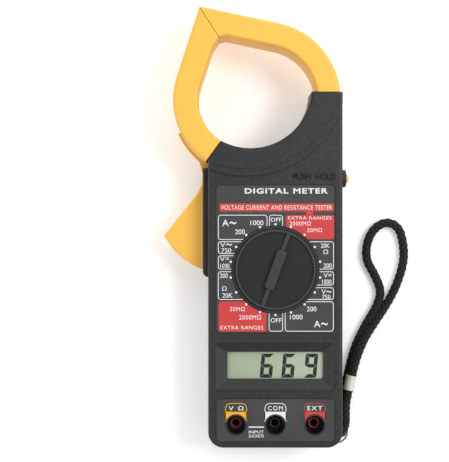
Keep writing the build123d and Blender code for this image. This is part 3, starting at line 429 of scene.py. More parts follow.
def lettering(words, edges, base, top, weight=0.008, spacing=1.0):
    """Letters that fill a field, as a solid of their own."""
    only()
    bpy.ops.object.text_add()
    text = bpy.context.object.data
    text.body = words
    text.bevel_depth = weight
    text.bevel_resolution = 0
    text.space_character = spacing
    text.resolution_u = 4
    text.extrude = 0.5
    bpy.ops.object.convert(target="MESH")
    piece = bpy.context.object
    corners = list(zip(*(vertex.co for vertex in piece.data.vertices)))
    first, last = Vector([min(axis) for axis in corners]), Vector([max(axis) for axis in corners])
    span = last - first
    left, right, low, high = edges
    stretch = ((right - left) / span.x, (high - low) / span.y, (top - base) / span.z)
    place = Matrix.Translation((left, low, base)) @ Matrix.Diagonal((*stretch, 1.0))
    piece.data.transform(place @ Matrix.Translation(-first))
    return piece


def written(figures, base, top, weight=0.008, spacing=1.0):
    """Pieces of lettering for a list of words with their edges in millimetres."""
    return [lettering(words, metres(edges), base, top, weight, spacing) for words, *edges in figures]


def turned_over(piece):
    """Mirrors a flat piece across the middle, so that it reads from the back."""
    piece.data.transform(Matrix.Diagonal((-1, 1, 1, 1)))
    piece.data.flip_normals()
    return piece


def settle(name, pieces, finish, body="case"):
    """Joins finished pieces under a name, with their finish and the body that they ride on."""
    piece = joined(name, pieces)
    piece.data.materials.clear()
    piece.data.materials.append(finish)
    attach(piece, body)
    return piece


# ---------------------------------------------------------------- finishes

def formula(operation, swapped=False):
    """An operator of a formula, which adds a Math node."""
    def combine(field, other):
        values = (other, field) if swapped else (field, other)
        return field.math(operation, *values)
    return combine


class Field:
    """A value that varies over a surface, on which formulas can be written."""

    def __init__(self, finish, socket):
        self.finish = finish
        self.socket = socket

    def math(self, operation, *values):
        return self.finish.node("Math", {"operation": operation}, dict(enumerate(values)))

    __add__ = __radd__ = formula("ADD")
    __mul__ = __rmul__ = formula("MULTIPLY")
    __sub__ = formula("SUBTRACT")
    __rsub__ = formula("SUBTRACT", swapped=True)
    __truediv__ = formula("DIVIDE")
    __gt__ = formula("GREATER_THAN")
    __lt__ = formula("LESS_THAN")

    def fraction(self):
        return self.math("FRACT", self)

    def distance(self, other):
        return self.math("ABSOLUTE", self - other)

    def step(self, low, high):
        """0 under the low limit, 1 over the high one and smooth between."""
        sockets = {"Value": self, "From Min": low, "From Max": high}
        return self.finish.node("MapRange", {"interpolation_type": "SMOOTHSTEP"}, sockets, "Result")


class Finish:
    """A material on one shader, whose constants stand on the shader's own sockets."""

    def __init__(self, name, **constants):
        self.material = bpy.data.materials.new(name)
        self.material.use_nodes = True
        self.tree = self.material.node_tree
        self.tree.nodes.clear()
        output = self.tree.nodes.new("ShaderNodeOutputMaterial")
        self.shader = self.tree.nodes.new("ShaderNodeBsdfPrincipled")
        self.tree.links.new(self.shader.outputs["BSDF"], output.inputs["Surface"])
        self.place = self.node("TexCoord", {}, {}, "Object")
        self.set(**constants)

    def node(self, kind, settings, sockets, output=0):
        """Adds a node with its settings first, then the values or links of its sockets."""
        made = self.tree.nodes.new("ShaderNode" + kind)
        for name, value in settings.items():
            setattr(made, name, value)
        for key, value in sockets.items():
            self._feed(made.inputs[key], value)
        return Field(self, made.outputs[output])

    def _feed(self, socket, value):
        if isinstance(value, Field):
            self.tree.links.new(value.socket, socket)
        elif socket.type == "RGBA" and len(value) == 3:
            socket.default_value = (*value, 1.0)
        else:
            socket.default_value = value

    def set(self, **values):
        """Sets the shader's sockets, their names written with underscores."""
        for name, value in values.items():
            self._feed(self.shader.inputs[name.replace("_", " ").title().replace("Ior", "IOR")], value)
        return self

    def axes(self):
        """The three coordinates of a place on the surface."""
        made = self.tree.nodes.new("ShaderNodeSeparateXYZ")
        self._feed(made.inputs[0], self.place)
        return [Field(self, socket) for socket in made.outputs]

    def grain(self, size, detail=2.0, roughness=0.5, scale=None):
        """Noise with grains of a size in metres, drawn out along an axis of a small scale."""
        place = self.place
        if scale:
            place = self.node("Mapping", {}, {"Vector": place, "Scale": scale})
        sockets = {"Vector": place, "Scale": 1.0 / size, "Detail": detail, "Roughness": roughness}
        return self.node("TexNoise", {"noise_dimensions": "3D"}, sockets, "Fac")

    def mixed(self, factor, first, second):
        """A colour between two colours."""
        return self.node("Mix", {"data_type": "RGBA"}, {0: factor, 6: first, 7: second}, 2)

    def edges(self, radius):
        """1 along outer and inner edges and 0 on open faces."""
        made = self.tree.nodes.new("ShaderNodeBevel")
        made.samples = 4
        made.inputs["Radius"].default_value = radius
        shape = self.tree.nodes.new("ShaderNodeNewGeometry")
        normals = {0: Field(self, made.outputs[0]), 1: Field(self, shape.outputs["Normal"])}
        along = self.node("VectorMath", {"operation": "DOT_PRODUCT"}, normals, "Value")
        return (1.0 - along).step(0.02, 0.22)

    def relief(self, height, strength, depth, under=None):
        """Surface relief, on top of another one if there is one."""
        sockets = {"Height": height, "Strength": strength, "Distance": depth}
        if under:
            sockets["Normal"] = under
        return self.node("Bump", {}, sockets, "Normal")


def darker(shade, share):
    return tuple(channel * share for channel in shade)


def paler(shade, share):
    return tuple(channel + (1.0 - channel) * share for channel in shade)


def moulded(
    name, shade, rough, grain=0.45 * MM, depth=0.05 * MM, edge_wear_and_highlight=0.07, edge=0.5 * MM, spread=0.12, **more
):
    """Moulded plastic: a fine cast texture, faint flow marks, and edges rubbed smooth and pale, the paleness
    partly wear and partly a painted highlight.
    """
    finish = Finish(name, **more)
    fine = finish.grain(grain, 3.0, 0.6)
    flow = finish.grain(14 * MM, 2.0, scale=(1.0, 0.35, 1.0))
    mottle = finish.grain(1.7 * MM, 2.0)
    worn_and_lit_edges = finish.edges(edge)
    body = finish.mixed(mottle.step(0.3, 0.7), darker(shade, 1.0 - spread), paler(shade, spread / 12))
    body = finish.mixed(flow.step(0.35, 0.7) * 0.5, body, darker(shade, 1.0 - spread))
    # Paler along outer and inner edges: partly rubbing wear, partly a painted highlight
    body = finish.mixed(worn_and_lit_edges * fine.step(0.25, 0.6), body, paler(shade, edge_wear_and_highlight))
    finish.set(base_color=body, roughness=rough + 0.10 * fine + 0.08 * flow - 0.14 * worn_and_lit_edges)
    finish.set(normal=finish.relief(fine, 0.35, depth))
    return finish.material


def knob_finish(name, shade):
    """Knob: nearly black in its dish, paler on the bar and the rim as a painted highlight, with fine turning
    marks.
    """
    finish = Finish(name, specular_ior_level=0.3)
    x, y, z = finish.axes()
    fine = finish.grain(0.4 * MM, 3.0, 0.6)
    # Painted highlight: the raised bar and rim, above the dish, are made paler
    rubbed = z.step(34.7 * MM, 35.3 * MM)
    marks = ((x + y) / (0.9 * MM)).fraction().distance(0.5)
    worn_and_lit_edges = finish.edges(0.4 * MM)
    tone = finish.mixed(marks.step(0.1, 0.5) * 0.6, shade, paler(shade, 0.006))
    tone = finish.mixed(rubbed, tone, paler(shade, 0.028))
    # Paler along edges: partly rubbing wear, partly a painted highlight
    finish.set(base_color=finish.mixed(worn_and_lit_edges * fine.step(0.25, 0.6), tone, paler(shade, 0.06)))
    finish.set(roughness=0.58 + 0.10 * fine - 0.12 * rubbed)
    finish.set(normal=finish.relief(fine, 0.3, 0.05 * MM))
    return finish.material


def contact_brass(name):
    """Brass that is bright at the mouth of a socket, with painted shade darkening it down the bore."""
    finish = Finish(name, specular_ior_level=0.3)
    z = finish.axes()[2]
    spots = finish.grain(1.2 * MM, 3.0)
    bright = z.step(21.5 * MM, 23.3 * MM)
    # Painted shade down the bore: below the mouth the brass is a dull near black, not metallic
    tone = finish.mixed(spots.step(0.3, 0.75), (0.020, 0.016, 0.012), (0.006, 0.005, 0.004))
    finish.set(base_color=finish.mixed(bright, tone, (0.72, 0.55, 0.25)))
    finish.set(metallic=bright, roughness=0.75 - 0.45 * bright + 0.12 * spots)
    return finish.material


def printed(name, shade, rough=0.42):
    """Screen-printed ink with a slightly uneven body and pinholes."""
    finish = Finish(name, specular_ior_level=0.4)
    body = finish.grain(0.8 * MM, 3.0)
    pin = finish.grain(0.12 * MM, 1.0)
    tone = finish.mixed(body.step(0.3, 0.75), shade, darker(shade, 0.88))
    tone = finish.mixed(pin.step(0.74, 0.8), tone, darker(shade, 0.55))
    finish.set(base_color=tone, roughness=rough + 0.15 * body)
    finish.set(normal=finish.relief(body, 0.15, 0.02 * MM))
    return finish.material


def film(name, shade):
    """Matt film of a label, with a silky lay and rubbed spots."""
    finish = Finish(name, specular_ior_level=0.45)
    fine = finish.grain(0.3 * MM, 2.0)
    rubbed = finish.grain(22 * MM, 3.0)
    tone = finish.mixed(rubbed.step(0.35, 0.7), shade, paler(shade, 0.02))
    finish.set(base_color=finish.mixed(fine.step(0.3, 0.8), tone, darker(shade, 0.86)))
    finish.set(roughness=0.40 + 0.12 * fine + 0.10 * rubbed)
    finish.set(normal=finish.relief(fine, 0.2, 0.02 * MM))
    return finish.material


def clear_window(name):
    """Clear acrylic with a few dust specks and wiping marks."""
    finish = Finish(name, base_color=(0.12, 0.13, 0.115), ior=1.49)
    wiped = finish.grain(3 * MM, 3.0, scale=(0.15, 1.0, 1.0))
    dust = finish.grain(0.25 * MM, 1.0).step(0.76, 0.82)
    finish.set(alpha=0.03 + 0.03 * wiped + 0.10 * dust, roughness=0.04 + 0.10 * wiped)
    return finish.material


def display_back(name, shade):
    """Grey-green reflector of the display, paler to one side as painted light, with a faint silver grain."""
    finish = Finish(name, specular_ior_level=0.35)
    x = finish.axes()[0]
    # Painted light: the reflector is paler towards the high x side
    across = x.step(glass_low.x, glass_high.x)
    grain = finish.grain(0.18 * MM, 2.0)
    tone = finish.mixed(across, darker(shade, 0.94), paler(shade, 0.12))
    finish.set(base_color=finish.mixed(grain.step(0.3, 0.8) * 0.35, tone, paler(shade, 0.3)))
    finish.set(roughness=0.38 + 0.14 * grain)
    return finish.material


def metal(name, shade, rough, streak=(1.0, 1.0, 0.12), patina=0.25):
    """Plain metal with fine streaks and duller spots."""
    finish = Finish(name, metallic=1.0)
    streaks = finish.grain(0.15 * MM, 2.0, scale=streak)
    spots = finish.grain(1.6 * MM, 3.0)
    tone = finish.mixed(spots.step(0.45, 0.8), shade, darker(shade, 1.0 - patina))
    finish.set(base_color=finish.mixed(streaks.step(0.3, 0.8) * 0.4, tone, paler(shade, 0.3)))
    finish.set(roughness=rough + 0.16 * spots + 0.08 * streaks)
    finish.set(normal=finish.relief(streaks, 0.25, 0.01 * MM))
    return finish.material


def braid(name, shade):
    """Braided nylon: shiny strands of fine threads, dull in the grooves, with painted shade darkening the
    grooves and the lines between threads.
    """
    finish = Finish(name, sheen_weight=0.06, sheen_roughness=0.5, specular_ior_level=0.3)
    height = finish.node("Attribute", {"attribute_name": "strand_height"}, {}, "Fac")
    across = finish.node("Attribute", {"attribute_name": "strand_across"}, {}, "Fac")
    threads = (across * 7.0).fraction().distance(0.5)
    fuzz = finish.grain(0.35 * MM, 3.0)
    # Painted shade: darker where the strands are low, and along the lines between threads
    tone = finish.mixed(height.step(0.1, 0.95), darker(shade, 0.35), paler(shade, 0.012))
    tone = finish.mixed(threads.step(0.1, 0.45) * 0.5, tone, darker(shade, 0.6))
    finish.set(base_color=finish.mixed(fuzz.step(0.5, 0.8) * 0.4, tone, paler(shade, 0.01)))
    finish.set(roughness=0.78 - 0.22 * height + 0.12 * fuzz)
    lay = finish.relief(threads, 0.5, 0.06 * MM)
    finish.set(normal=finish.relief(fuzz, 0.3, 0.05 * MM, lay))
    return finish.material


def banded_coat(name):
    """Resistor coat with colour bands across its length."""
    finish = Finish(name, coat_weight=0.2)
    y = finish.axes()[1]
    row = (y / (8.5 * MM) + 0.02).fraction()
    coat = finish.mixed(finish.grain(1.0 * MM), (0.52, 0.38, 0.20), (0.60, 0.47, 0.30))
    bands = ((0.30, (0.30, 0.10, 0.02)), (0.42, (0.02, 0.02, 0.02)), (0.54, (0.55, 0.04, 0.02)))
    for middle, shade in bands:
        coat = finish.mixed(row.distance(middle) < 0.035, coat, shade)
    finish.set(base_color=coat, roughness=0.4 + 0.2 * finish.grain(0.5 * MM))
    return finish.material


def board_laminate(name):
    """Green solder resist over copper tracks."""
    finish = Finish(name, coat_weight=0.3)
    x, y = finish.axes()[:2]
    bends = finish.grain(9 * MM, 0.0)
    tracks = ((x + y * 0.4) / (1.9 * MM) + 2.5 * bends).fraction().distance(0.5) < 0.2
    tone = finish.mixed(tracks, (0.025, 0.13, 0.045), (0.05, 0.26, 0.09))
    finish.set(base_color=finish.mixed(finish.grain(0.6 * MM) * 0.3, tone, (0.02, 0.09, 0.03)))
    finish.set(roughness=0.32 + 0.15 * bends, normal=finish.relief(tracks, 0.4, 0.03 * MM))
    return finish.material


def wound(name):
    """Enamelled copper wire laid turn by turn round the coil."""
    finish = Finish(name, metallic=0.85)
    x, y = finish.axes()[:2]
    turns = ((x + 0.3 * y) / (0.28 * MM)).fraction().distance(0.5)
    spots = finish.grain(1.2 * MM)
    # Painted shade between the turns: darker where the round wires meet
    finish.set(base_color=finish.mixed(turns.step(0.2, 0.5), (0.62, 0.27, 0.09), (0.18, 0.06, 0.02)))
    finish.set(roughness=0.28 + 0.2 * spots, normal=finish.relief(turns, 0.7, 0.06 * MM))
    return finish.material


def laminations(name):
    """Stack of varnished steel sheets, seen edge on."""
    finish = Finish(name, metallic=0.9)
    z = finish.axes()[2]
    sheets = (z / (0.35 * MM)).fraction().distance(0.5)
    spots = finish.grain(2.5 * MM, 3.0)
    finish.set(base_color=finish.mixed(sheets.step(0.3, 0.5), (0.30, 0.30, 0.32), (0.08, 0.075, 0.07)))
    finish.set(roughness=0.38 + 0.25 * spots, normal=finish.relief(sheets, 0.6, 0.04 * MM))
    return finish.material


def foam(name):
    """Closed cell foam."""
    finish = Finish(name, sheen_weight=0.2)
    cells = finish.node("TexVoronoi", {}, {"Vector": finish.place, "Scale": 1.0 / (0.7 * MM)}, "Distance")
    # Painted shade: darker in the hollows of the cells
    finish.set(base_color=finish.mixed(cells, (0.05, 0.05, 0.055), (0.12, 0.12, 0.125)))
    finish.set(roughness=0.85 + 0.1 * cells, normal=finish.relief(cells, 0.8, 0.2 * MM))
    return finish.material


def battery_jacket(name):
    """Printed steel jacket in two plain colours, with scuffs."""
    finish = Finish(name, coat_weight=0.4)
    x = finish.axes()[0]
    scuffs = finish.grain(0.8 * MM, 3.0, scale=(1.0, 0.1, 1.0))
    tone = finish.mixed(x > 8 * MM, (0.035, 0.036, 0.04), (0.50, 0.42, 0.30))
    finish.set(base_color=finish.mixed(scuffs.step(0.66, 0.74), tone, (0.5, 0.5, 0.5)))
    finish.set(roughness=0.28 + 0.25 * scuffs)
    return finish.material


def node_finishes(colours):
    """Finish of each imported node."""
    case = moulded("case_plastic", colours.case, 0.40, specular_ior_level=0.42)
    jaws = moulded("jaw_plastic", colours.jaw, 0.34, 0.6 * MM, 0.02 * MM, 0.25, 0.45 * MM, 0.035)
    knob = knob_finish("knob_plastic", colours.knob)
    dark = moulded("dark_plastic", (0.03, 0.03, 0.032), 0.4)
    part = moulded("component_plastic", (0.03, 0.03, 0.034), 0.5)
    sleeve = moulded("jack_red", colours.sleeve, 0.28, 0.6 * MM, 0.02 * MM, 0.12)
    black = moulded("jack_black", (0.016, 0.016, 0.017), 0.26, 0.6 * MM, 0.02 * MM, 0.2)
    nylon = moulded("bobbin_nylon", (0.62, 0.59, 0.50), 0.45, subsurface_weight=0.1)
    red_wire = moulded("wire_red", (0.50, 0.02, 0.02), 0.35)
    black_wire = moulded("wire_black", (0.02, 0.02, 0.02), 0.35)
    steel = metal("plain_steel", (0.42, 0.42, 0.43), 0.3)
    brass = contact_brass("contact_brass")
    core = laminations("core_laminations")
    label = film("label_film", colours.film)
    return {
        ("front_case", "rear_case", "battery_door"): case,
        ("fixed_jaw_front", "fixed_jaw_rear", "moving_jaw_front", "moving_jaw_rear"): jaws,
        ("dial_knob",): knob,
        ("front_label", "jack_label"): label,
        ("rear_label",): film("blank_label", (0.45, 0.45, 0.45)),
        ("display_lens",): clear_window("clear_window"),
        ("display_glass",): display_back("display_back", colours.display),
        ("display_frame", "battery_snap"): dark,
        ("contact_strips",): moulded("contact_rubber", (0.15, 0.12, 0.14), 0.7),
        ("main_board",): board_laminate("board_laminate"),
        ("converter_chip", "hold_switch"): part,
        ("trim_pots",): moulded("trimmer_plastic", (0.05, 0.15, 0.5), 0.35),
        ("film_capacitors",): moulded("film_box", (0.55, 0.12, 0.05), 0.35),
        ("electrolytic_capacitors",): moulded("can_sleeve", (0.06, 0.06, 0.2), 0.3, coat_weight=0.3),
        ("resistors",): banded_coat("resistor_coat"),
        ("red_jack_sleeves",): sleeve,
        ("black_jack_sleeve",): black,
        ("jack_contacts", "wiper_contacts"): brass,
        ("red_battery_wire", "coil_leads", "jack_wires"): red_wire,
        ("black_battery_wire",): black_wire,
        ("battery",): battery_jacket("battery_jacket"),
        ("battery_foam",): foam("foam"),
        ("fixed_core", "moving_core"): core,
        ("pickup_coil",): wound("coil_winding"),
        ("coil_bobbin", "dial_rotor"): nylon,
        ("pivot_pin", "jaw_spring", "detent_balls", "detent_springs"): steel,
        ("case_screws", "board_screws", "strap_post", "strap_ring"): steel,
        ("hold_button",): moulded("amber_plastic", (0.86, 0.42, 0.02), 0.3, 0.6 * MM, 0.02 * MM, 0.25),
    }


# ---------------------------------------------------------------- pieces

def socket_places():
    """Centres of the three sockets, from left to right."""
    middle = (contact_low + contact_high) / 2
    reach = (contact_high.x - contact_low.x) / 2 - CONTACT_RADIUS
    y = contact_high.y - CONTACT_RADIUS
    return [Vector((middle.x + side * reach, y, 0)) for side in (-1, 0, 1)]


def dots(settings, base, top):
    """A ring of domed dots, one for each click."""
    only()
    bpy.ops.mesh.primitive_cylinder_add(
        vertices=20, radius=settings.dot / 2, depth=top - base, location=(0, 0, (base + top) / 2)
    )
    bpy.ops.object.transform_apply()
    dot = applied(bpy.context.object, "BEVEL", width=(top - base) / 2, segments=2)
    ring = settings.dot_ring
    turns = [2 * math.pi * number / settings.positions for number in range(settings.positions)]
    return repeated(dot, [(ring * math.sin(turn), ring * math.cos(turn), 0) for turn in turns])


def bar(width, long, base, top, lead, tail, pointed):
    """One bar of a display figure along X, its inner side drawn in at both ends, or both sides if pointed."""
    piece = plane(long, width, (0, 0, base))
    if pointed:
        bpy.ops.object.mode_set(mode="EDIT")
        bpy.ops.mesh.select_all(action="SELECT")
        bpy.ops.mesh.subdivide(number_cuts=1)
        bpy.ops.object.mode_set(mode="OBJECT")
    for vertex in piece.data.vertices:
        drawn_in = abs(vertex.co.y) > width / 4 if pointed else vertex.co.y < 0
        if drawn_in and abs(vertex.co.x) > long / 4:
            vertex.co.x += lead if vertex.co.x < 0 else -tail
    return raised(piece, top - base, 0.0 if pointed else width * BAR_ROUNDING)


def figure_bars(settings, base, top):
    """The seven bars of a display figure, in the order of the figures' tables."""
    wide, high, thick = settings.figure_width, settings.figure_height, settings.bar
    gap = settings.gap
    flat = wide - 2 * gap
    upright = high / 2 - 1.5 * gap
    top_y = high - gap - upright / 2
    low_y = gap + upright / 2
    half = thick / 2
    places = (
        (flat, thick, thick, False, 0, wide / 2, high - half),
        (upright, half, thick, False, 90, half, top_y),
        (upright, thick, half, False, -90, wide - half, top_y),
        (wide - 4 * gap, thick, thick, True, 0, wide / 2, high / 2),
        (upright, thick, half, False, 90, half, low_y),
        (upright, half, thick, False, -90, wide - half, low_y),
        (flat, thick, thick, False, 180, wide / 2, half),
    )
    lean = Matrix.Identity(4)
    lean[0][1] = settings.slant
    bars = []
    for long, lead, tail, pointed, turn, x, y in places:
        piece = bar(thick, long, base, top, lead, tail, pointed)
        spin = Matrix.Rotation(math.radians(turn), 4, "Z")
        piece.data.transform(lean @ Matrix.Translation((x, y, 0)) @ spin)
        bars.append(piece)
    return bars


def cord_line(settings):
    """Points along the cord's smooth middle line."""
    curve = bpy.data.curves.new("cord_line", "CURVE")
    curve.dimensions = "3D"
    curve.resolution_u = settings.steps
    spline = curve.splines.new("NURBS")
    spline.points.add(len(CORD_ROUTE) - 1)
    for point, place in zip(spline.points, CORD_ROUTE):
        point.co = (*metres(place), 1.0)
    spline.order_u = 3
    spline.use_endpoint_u = True
    guide = bpy.data.objects.new("cord_line", curve)
    bpy.context.scene.collection.objects.link(guide)
    bpy.context.view_layer.update()
    line = bpy.data.meshes.new_from_object(guide)
    points = []
    for vertex in line.vertices:
        if not points or (vertex.co - points[-1]).length > 0.05 * MM:
            points.append(vertex.co.copy())
    bpy.data.objects.remove(guide)
    bpy.data.meshes.remove(line)
    return points


def strand_at(around, along, settings):
    """Height of the braid from 0 to 1, and how far across its strand a place lies."""
    one = settings.strands * around + along / settings.pick
    other = settings.strands * around - along / settings.pick
    one_side = one - math.floor(one) - 0.5
    other_side = other - math.floor(other) - 0.5
    if (math.floor(one) + math.floor(other)) % 2:
        one_side, other_side = other_side, one_side
    crown = math.cos(math.pi * one_side) ** 0.6
    arch = 0.55 + 0.45 * math.cos(math.pi * other_side)
    return crown * arch, one_side


def cord_mesh(points, settings):
    """Tube round the middle line with the relief of its braid."""
    facets = settings.facets
    vertices, heights, sides = [], [], []
    along = 0.0
    side = None
    for number, point in enumerate(points):
        before = points[max(number - 1, 0)]
        after = points[min(number + 1, len(points) - 1)]
        ahead = (after - before).normalized()
        if side is None:
            side = ahead.cross(Vector((0, 0, 1))).normalized()
        else:
            along += (point - before).length
            side = (side - ahead * side.dot(ahead)).normalized()
        up = side.cross(ahead)
        for facet in range(facets):
            around = facet / facets
            height, across = strand_at(around, along, settings)
            radius = settings.cord / 2 + settings.crown - settings.relief * (1.0 - height)
            turn = 2 * math.pi * around
            vertices.append(point + radius * (side * math.cos(turn) + up * math.sin(turn)))
            heights.append(height)
            sides.append(across + 0.5)
    faces = []
    for ring in range(len(points) - 1):
        for facet in range(facets):
            following = (facet + 1) % facets
            low, high = ring * facets, (ring + 1) * facets
            faces.append((low + facet, high + facet, high + following, low + following))
    faces.append(tuple(range(facets)))
    faces.append(tuple(reversed(range(len(vertices) - facets, len(vertices)))))
    mesh = bpy.data.meshes.new("strap_braid")
    mesh.from_pydata([tuple(vertex) for vertex in vertices], [], faces)
    for name, values in (("strand_height", heights), ("strand_across", sides)):
        mesh.attributes.new(name, "FLOAT", "POINT").data.foreach_set("value", values)
    mesh.shade_smooth()
    mesh.validate()
    mesh.update()
    return mesh


class METER_OT_stage(Operator):
    """Floor, soft lights and the camera over the meter"""

    bl_idname = "meter.stage"
    bl_label = "Stage"

    def execute(self, context):
        settings = context.scene.meter_stage
        only()
        bpy.ops.mesh.primitive_plane_add(size=settings.floor_size, location=(0, 0, -0.1 * MM))
        floor = context.object
        floor.name = "floor"
        paper = Finish("floor_paper", specular_ior_level=0.2, emission_strength=0.26)
        paper.set(emission_color=(1.0, 1.0, 1.0))
        haze = paper.grain(0.4, 2.0)
        paper.set(base_color=paper.mixed(haze, settings.floor, darker(settings.floor, 0.985)))
        paper.set(roughness=0.85 + 0.05 * haze)
        floor.data.materials.append(paper.material)
        for light in LIGHTS:
            self.light(*light)
        world = bpy.data.worlds.new("studio")
        world.use_nodes = True
        sky = world.node_tree.nodes["Background"]
        sky.inputs["Color"].default_value = (1.0, 1.0, 1.0, 1.0)
        sky.inputs["Strength"].default_value = 0.5
        context.scene.world = world
        context.scene.view_settings.view_transform = "Standard"
        lens = bpy.data.cameras.new("camera")
        camera = bpy.data.objects.new("camera", lens)
        context.scene.collection.objects.link(camera)
        camera.location = (-settings.view_x, settings.view_y, case_top + settings.camera_rise)
        lens.lens = lens.sensor_width * settings.camera_rise / settings.view_long
        lens.clip_start = 0.05
        context.scene.camera = camera
        return {"FINISHED"}

    def light(self, name, place, size, watts):
        """Adds a square soft light that looks at the meter."""
        lamp = bpy.data.lights.new(name, "AREA")
        lamp.size = size
        lamp.energy = watts
        made = bpy.data.objects.new(name, lamp)
        bpy.context.scene.collection.objects.link(made)
        made.location = place
        made.rotation_euler = (-Vector(place)).to_track_quat("-Z", "Y").to_euler()


class METER_OT_wrist_strap(Operator):
    """Braided cord of the wrist strap, with its crimped band"""

    bl_idname = "meter.wrist_strap"
    bl_label = "Wrist strap"

    def execute(self, context):
        settings = context.scene.meter_strap
        colours = context.scene.meter_colours
        points = cord_line(settings)
        cord = bpy.data.objects.new("strap_braid", cord_mesh(points, settings))
        context.scene.collection.objects.link(cord)
        settle("strap_braid", [cord], braid("strap_braid", colours.cord), "wrist_strap")
        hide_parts("strap_cord")
        band = self.band(colours)
        return {"FINISHED"}

    def band(self, colours):
        """Metal sleeve with rolled ends and a pinched middle."""
        first, last = Vector(CORD_ROUTE[0]) * MM, Vector(CORD_ROUTE[-1]) * MM
        middle = (first + last) / 2
        outer = (band_high.z - band_low.z) / 2
        tilt = math.radians(-12.0)
        long = 8.0 * MM
        only()
        bpy.ops.mesh.primitive_cylinder_add(
            vertices=64, radius=outer, depth=long, end_fill_type="NOTHING"
        )
        piece = bpy.context.object
        bpy.ops.object.mode_set(mode="EDIT")
        bpy.ops.mesh.select_all(action="SELECT")
        bpy.ops.mesh.subdivide(number_cuts=7)
        bpy.ops.object.mode_set(mode="OBJECT")
        for vertex in piece.data.vertices:
            share = abs(vertex.co.z) / (long / 2)
            turn = math.atan2(vertex.co.y, vertex.co.x)
            pinch = BAND_PINCH * (1.0 - share**2) * (0.5 + 0.5 * math.cos(4 * turn))
            roll = BAND_ROLL if share < BAND_ROLL_FROM else 0.0
            dent = BAND_DENT * math.sin(3 * turn + BAND_DENTS_ALONG * vertex.co.z)
            vertex.co.xy *= 1.0 - pinch - roll - abs(dent)
        applied(piece, "SOLIDIFY", thickness=0.4 * MM, offset=-1.0)
        applied(piece, "BEVEL", width=0.1 * MM, segments=2, limit_method="ANGLE")
        lay = Matrix.Rotation(tilt, 4, "Z") @ Matrix.Rotation(math.radians(90), 4, "X")
        piece.data.transform(Matrix.Translation(middle) @ lay)
        bpy.ops.object.shade_smooth_by_angle(angle=math.radians(40))
        enamel = Finish("band_metal", metallic=0.35)
        scuff = enamel.grain(0.6 * MM, 3.0, scale=(1.0, 0.2, 1.0))
        edge = enamel.edges(0.3 * MM)
        tone = enamel.mixed(scuff.step(0.3, 0.75), colours.band, darker(colours.band, 0.82))
        enamel.set(base_color=enamel.mixed(edge, tone, (0.86, 0.84, 0.80)))
        enamel.set(roughness=0.26 + 0.2 * scuff, normal=enamel.relief(scuff, 0.3, 0.05 * MM))
        settle("crimp_band", [piece], enamel.material, "wrist_strap")
        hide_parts("strap_band")
        return piece


class METER_OT_front_print(Operator):
    """Printing on the film round the dial, and painted shade along the film's edges"""

    bl_idname = "meter.front_print"
    bl_label = "Front label printing"

    def execute(self, context):
        settings = context.scene.meter_print
        colours = context.scene.meter_colours
        white = printed("white_ink", colours.white)
        red = printed("red_ink", colours.red)
        film_z = label_high.z
        ink_z = film_z + settings.ink
        over_z = ink_z + settings.ink
        hole = settings.dial_ring + settings.ring_gap
        centre = (0, 0, film_z)
        panels = [
            plate(metres(edges), film_z, ink_z, corner * MM)
            for edges, corner in zip(PANELS, PANEL_CORNERS)
        ]
        for panel in panels[2:]:
            without_disc(panel, centre, hole)
        settle("red_panels", panels, red)
        fields = [plate(metres(edges), film_z, ink_z, settings.corner, settings.line) for edges in FIELDS]
        settle("field_lines", [without_disc(field, centre, hole) for field in fields], white)
        settle("click_dots", dots(settings, film_z, over_z), white)
        settle("range_figures", written(RANGE_FIGURES, film_z, ink_z, 0.006), white)
        settle("panel_figures", written(PANEL_FIGURES, ink_z, over_z, 0.002, 1.12), white)
        # Painted shade: a dark line along the film's edge and a dark ring round the dial's hole
        edges = (label_low.x, label_high.x, label_low.y, label_high.y)
        edge_shade = plate(edges, film_z, ink_z, LABEL_CORNER, settings.edge_shade)
        ring = raised(polygon(128, hole, centre), ink_z - film_z, rim=settings.edge_shade)
        settle("label_edge_shade", [edge_shade, ring], printed("painted_shade_black", (0.008, 0.008, 0.008)))
        settle("title_lettering", written((TITLE,), film_z, ink_z, 0.03, 1.15), white)
        return {"FINISHED"}


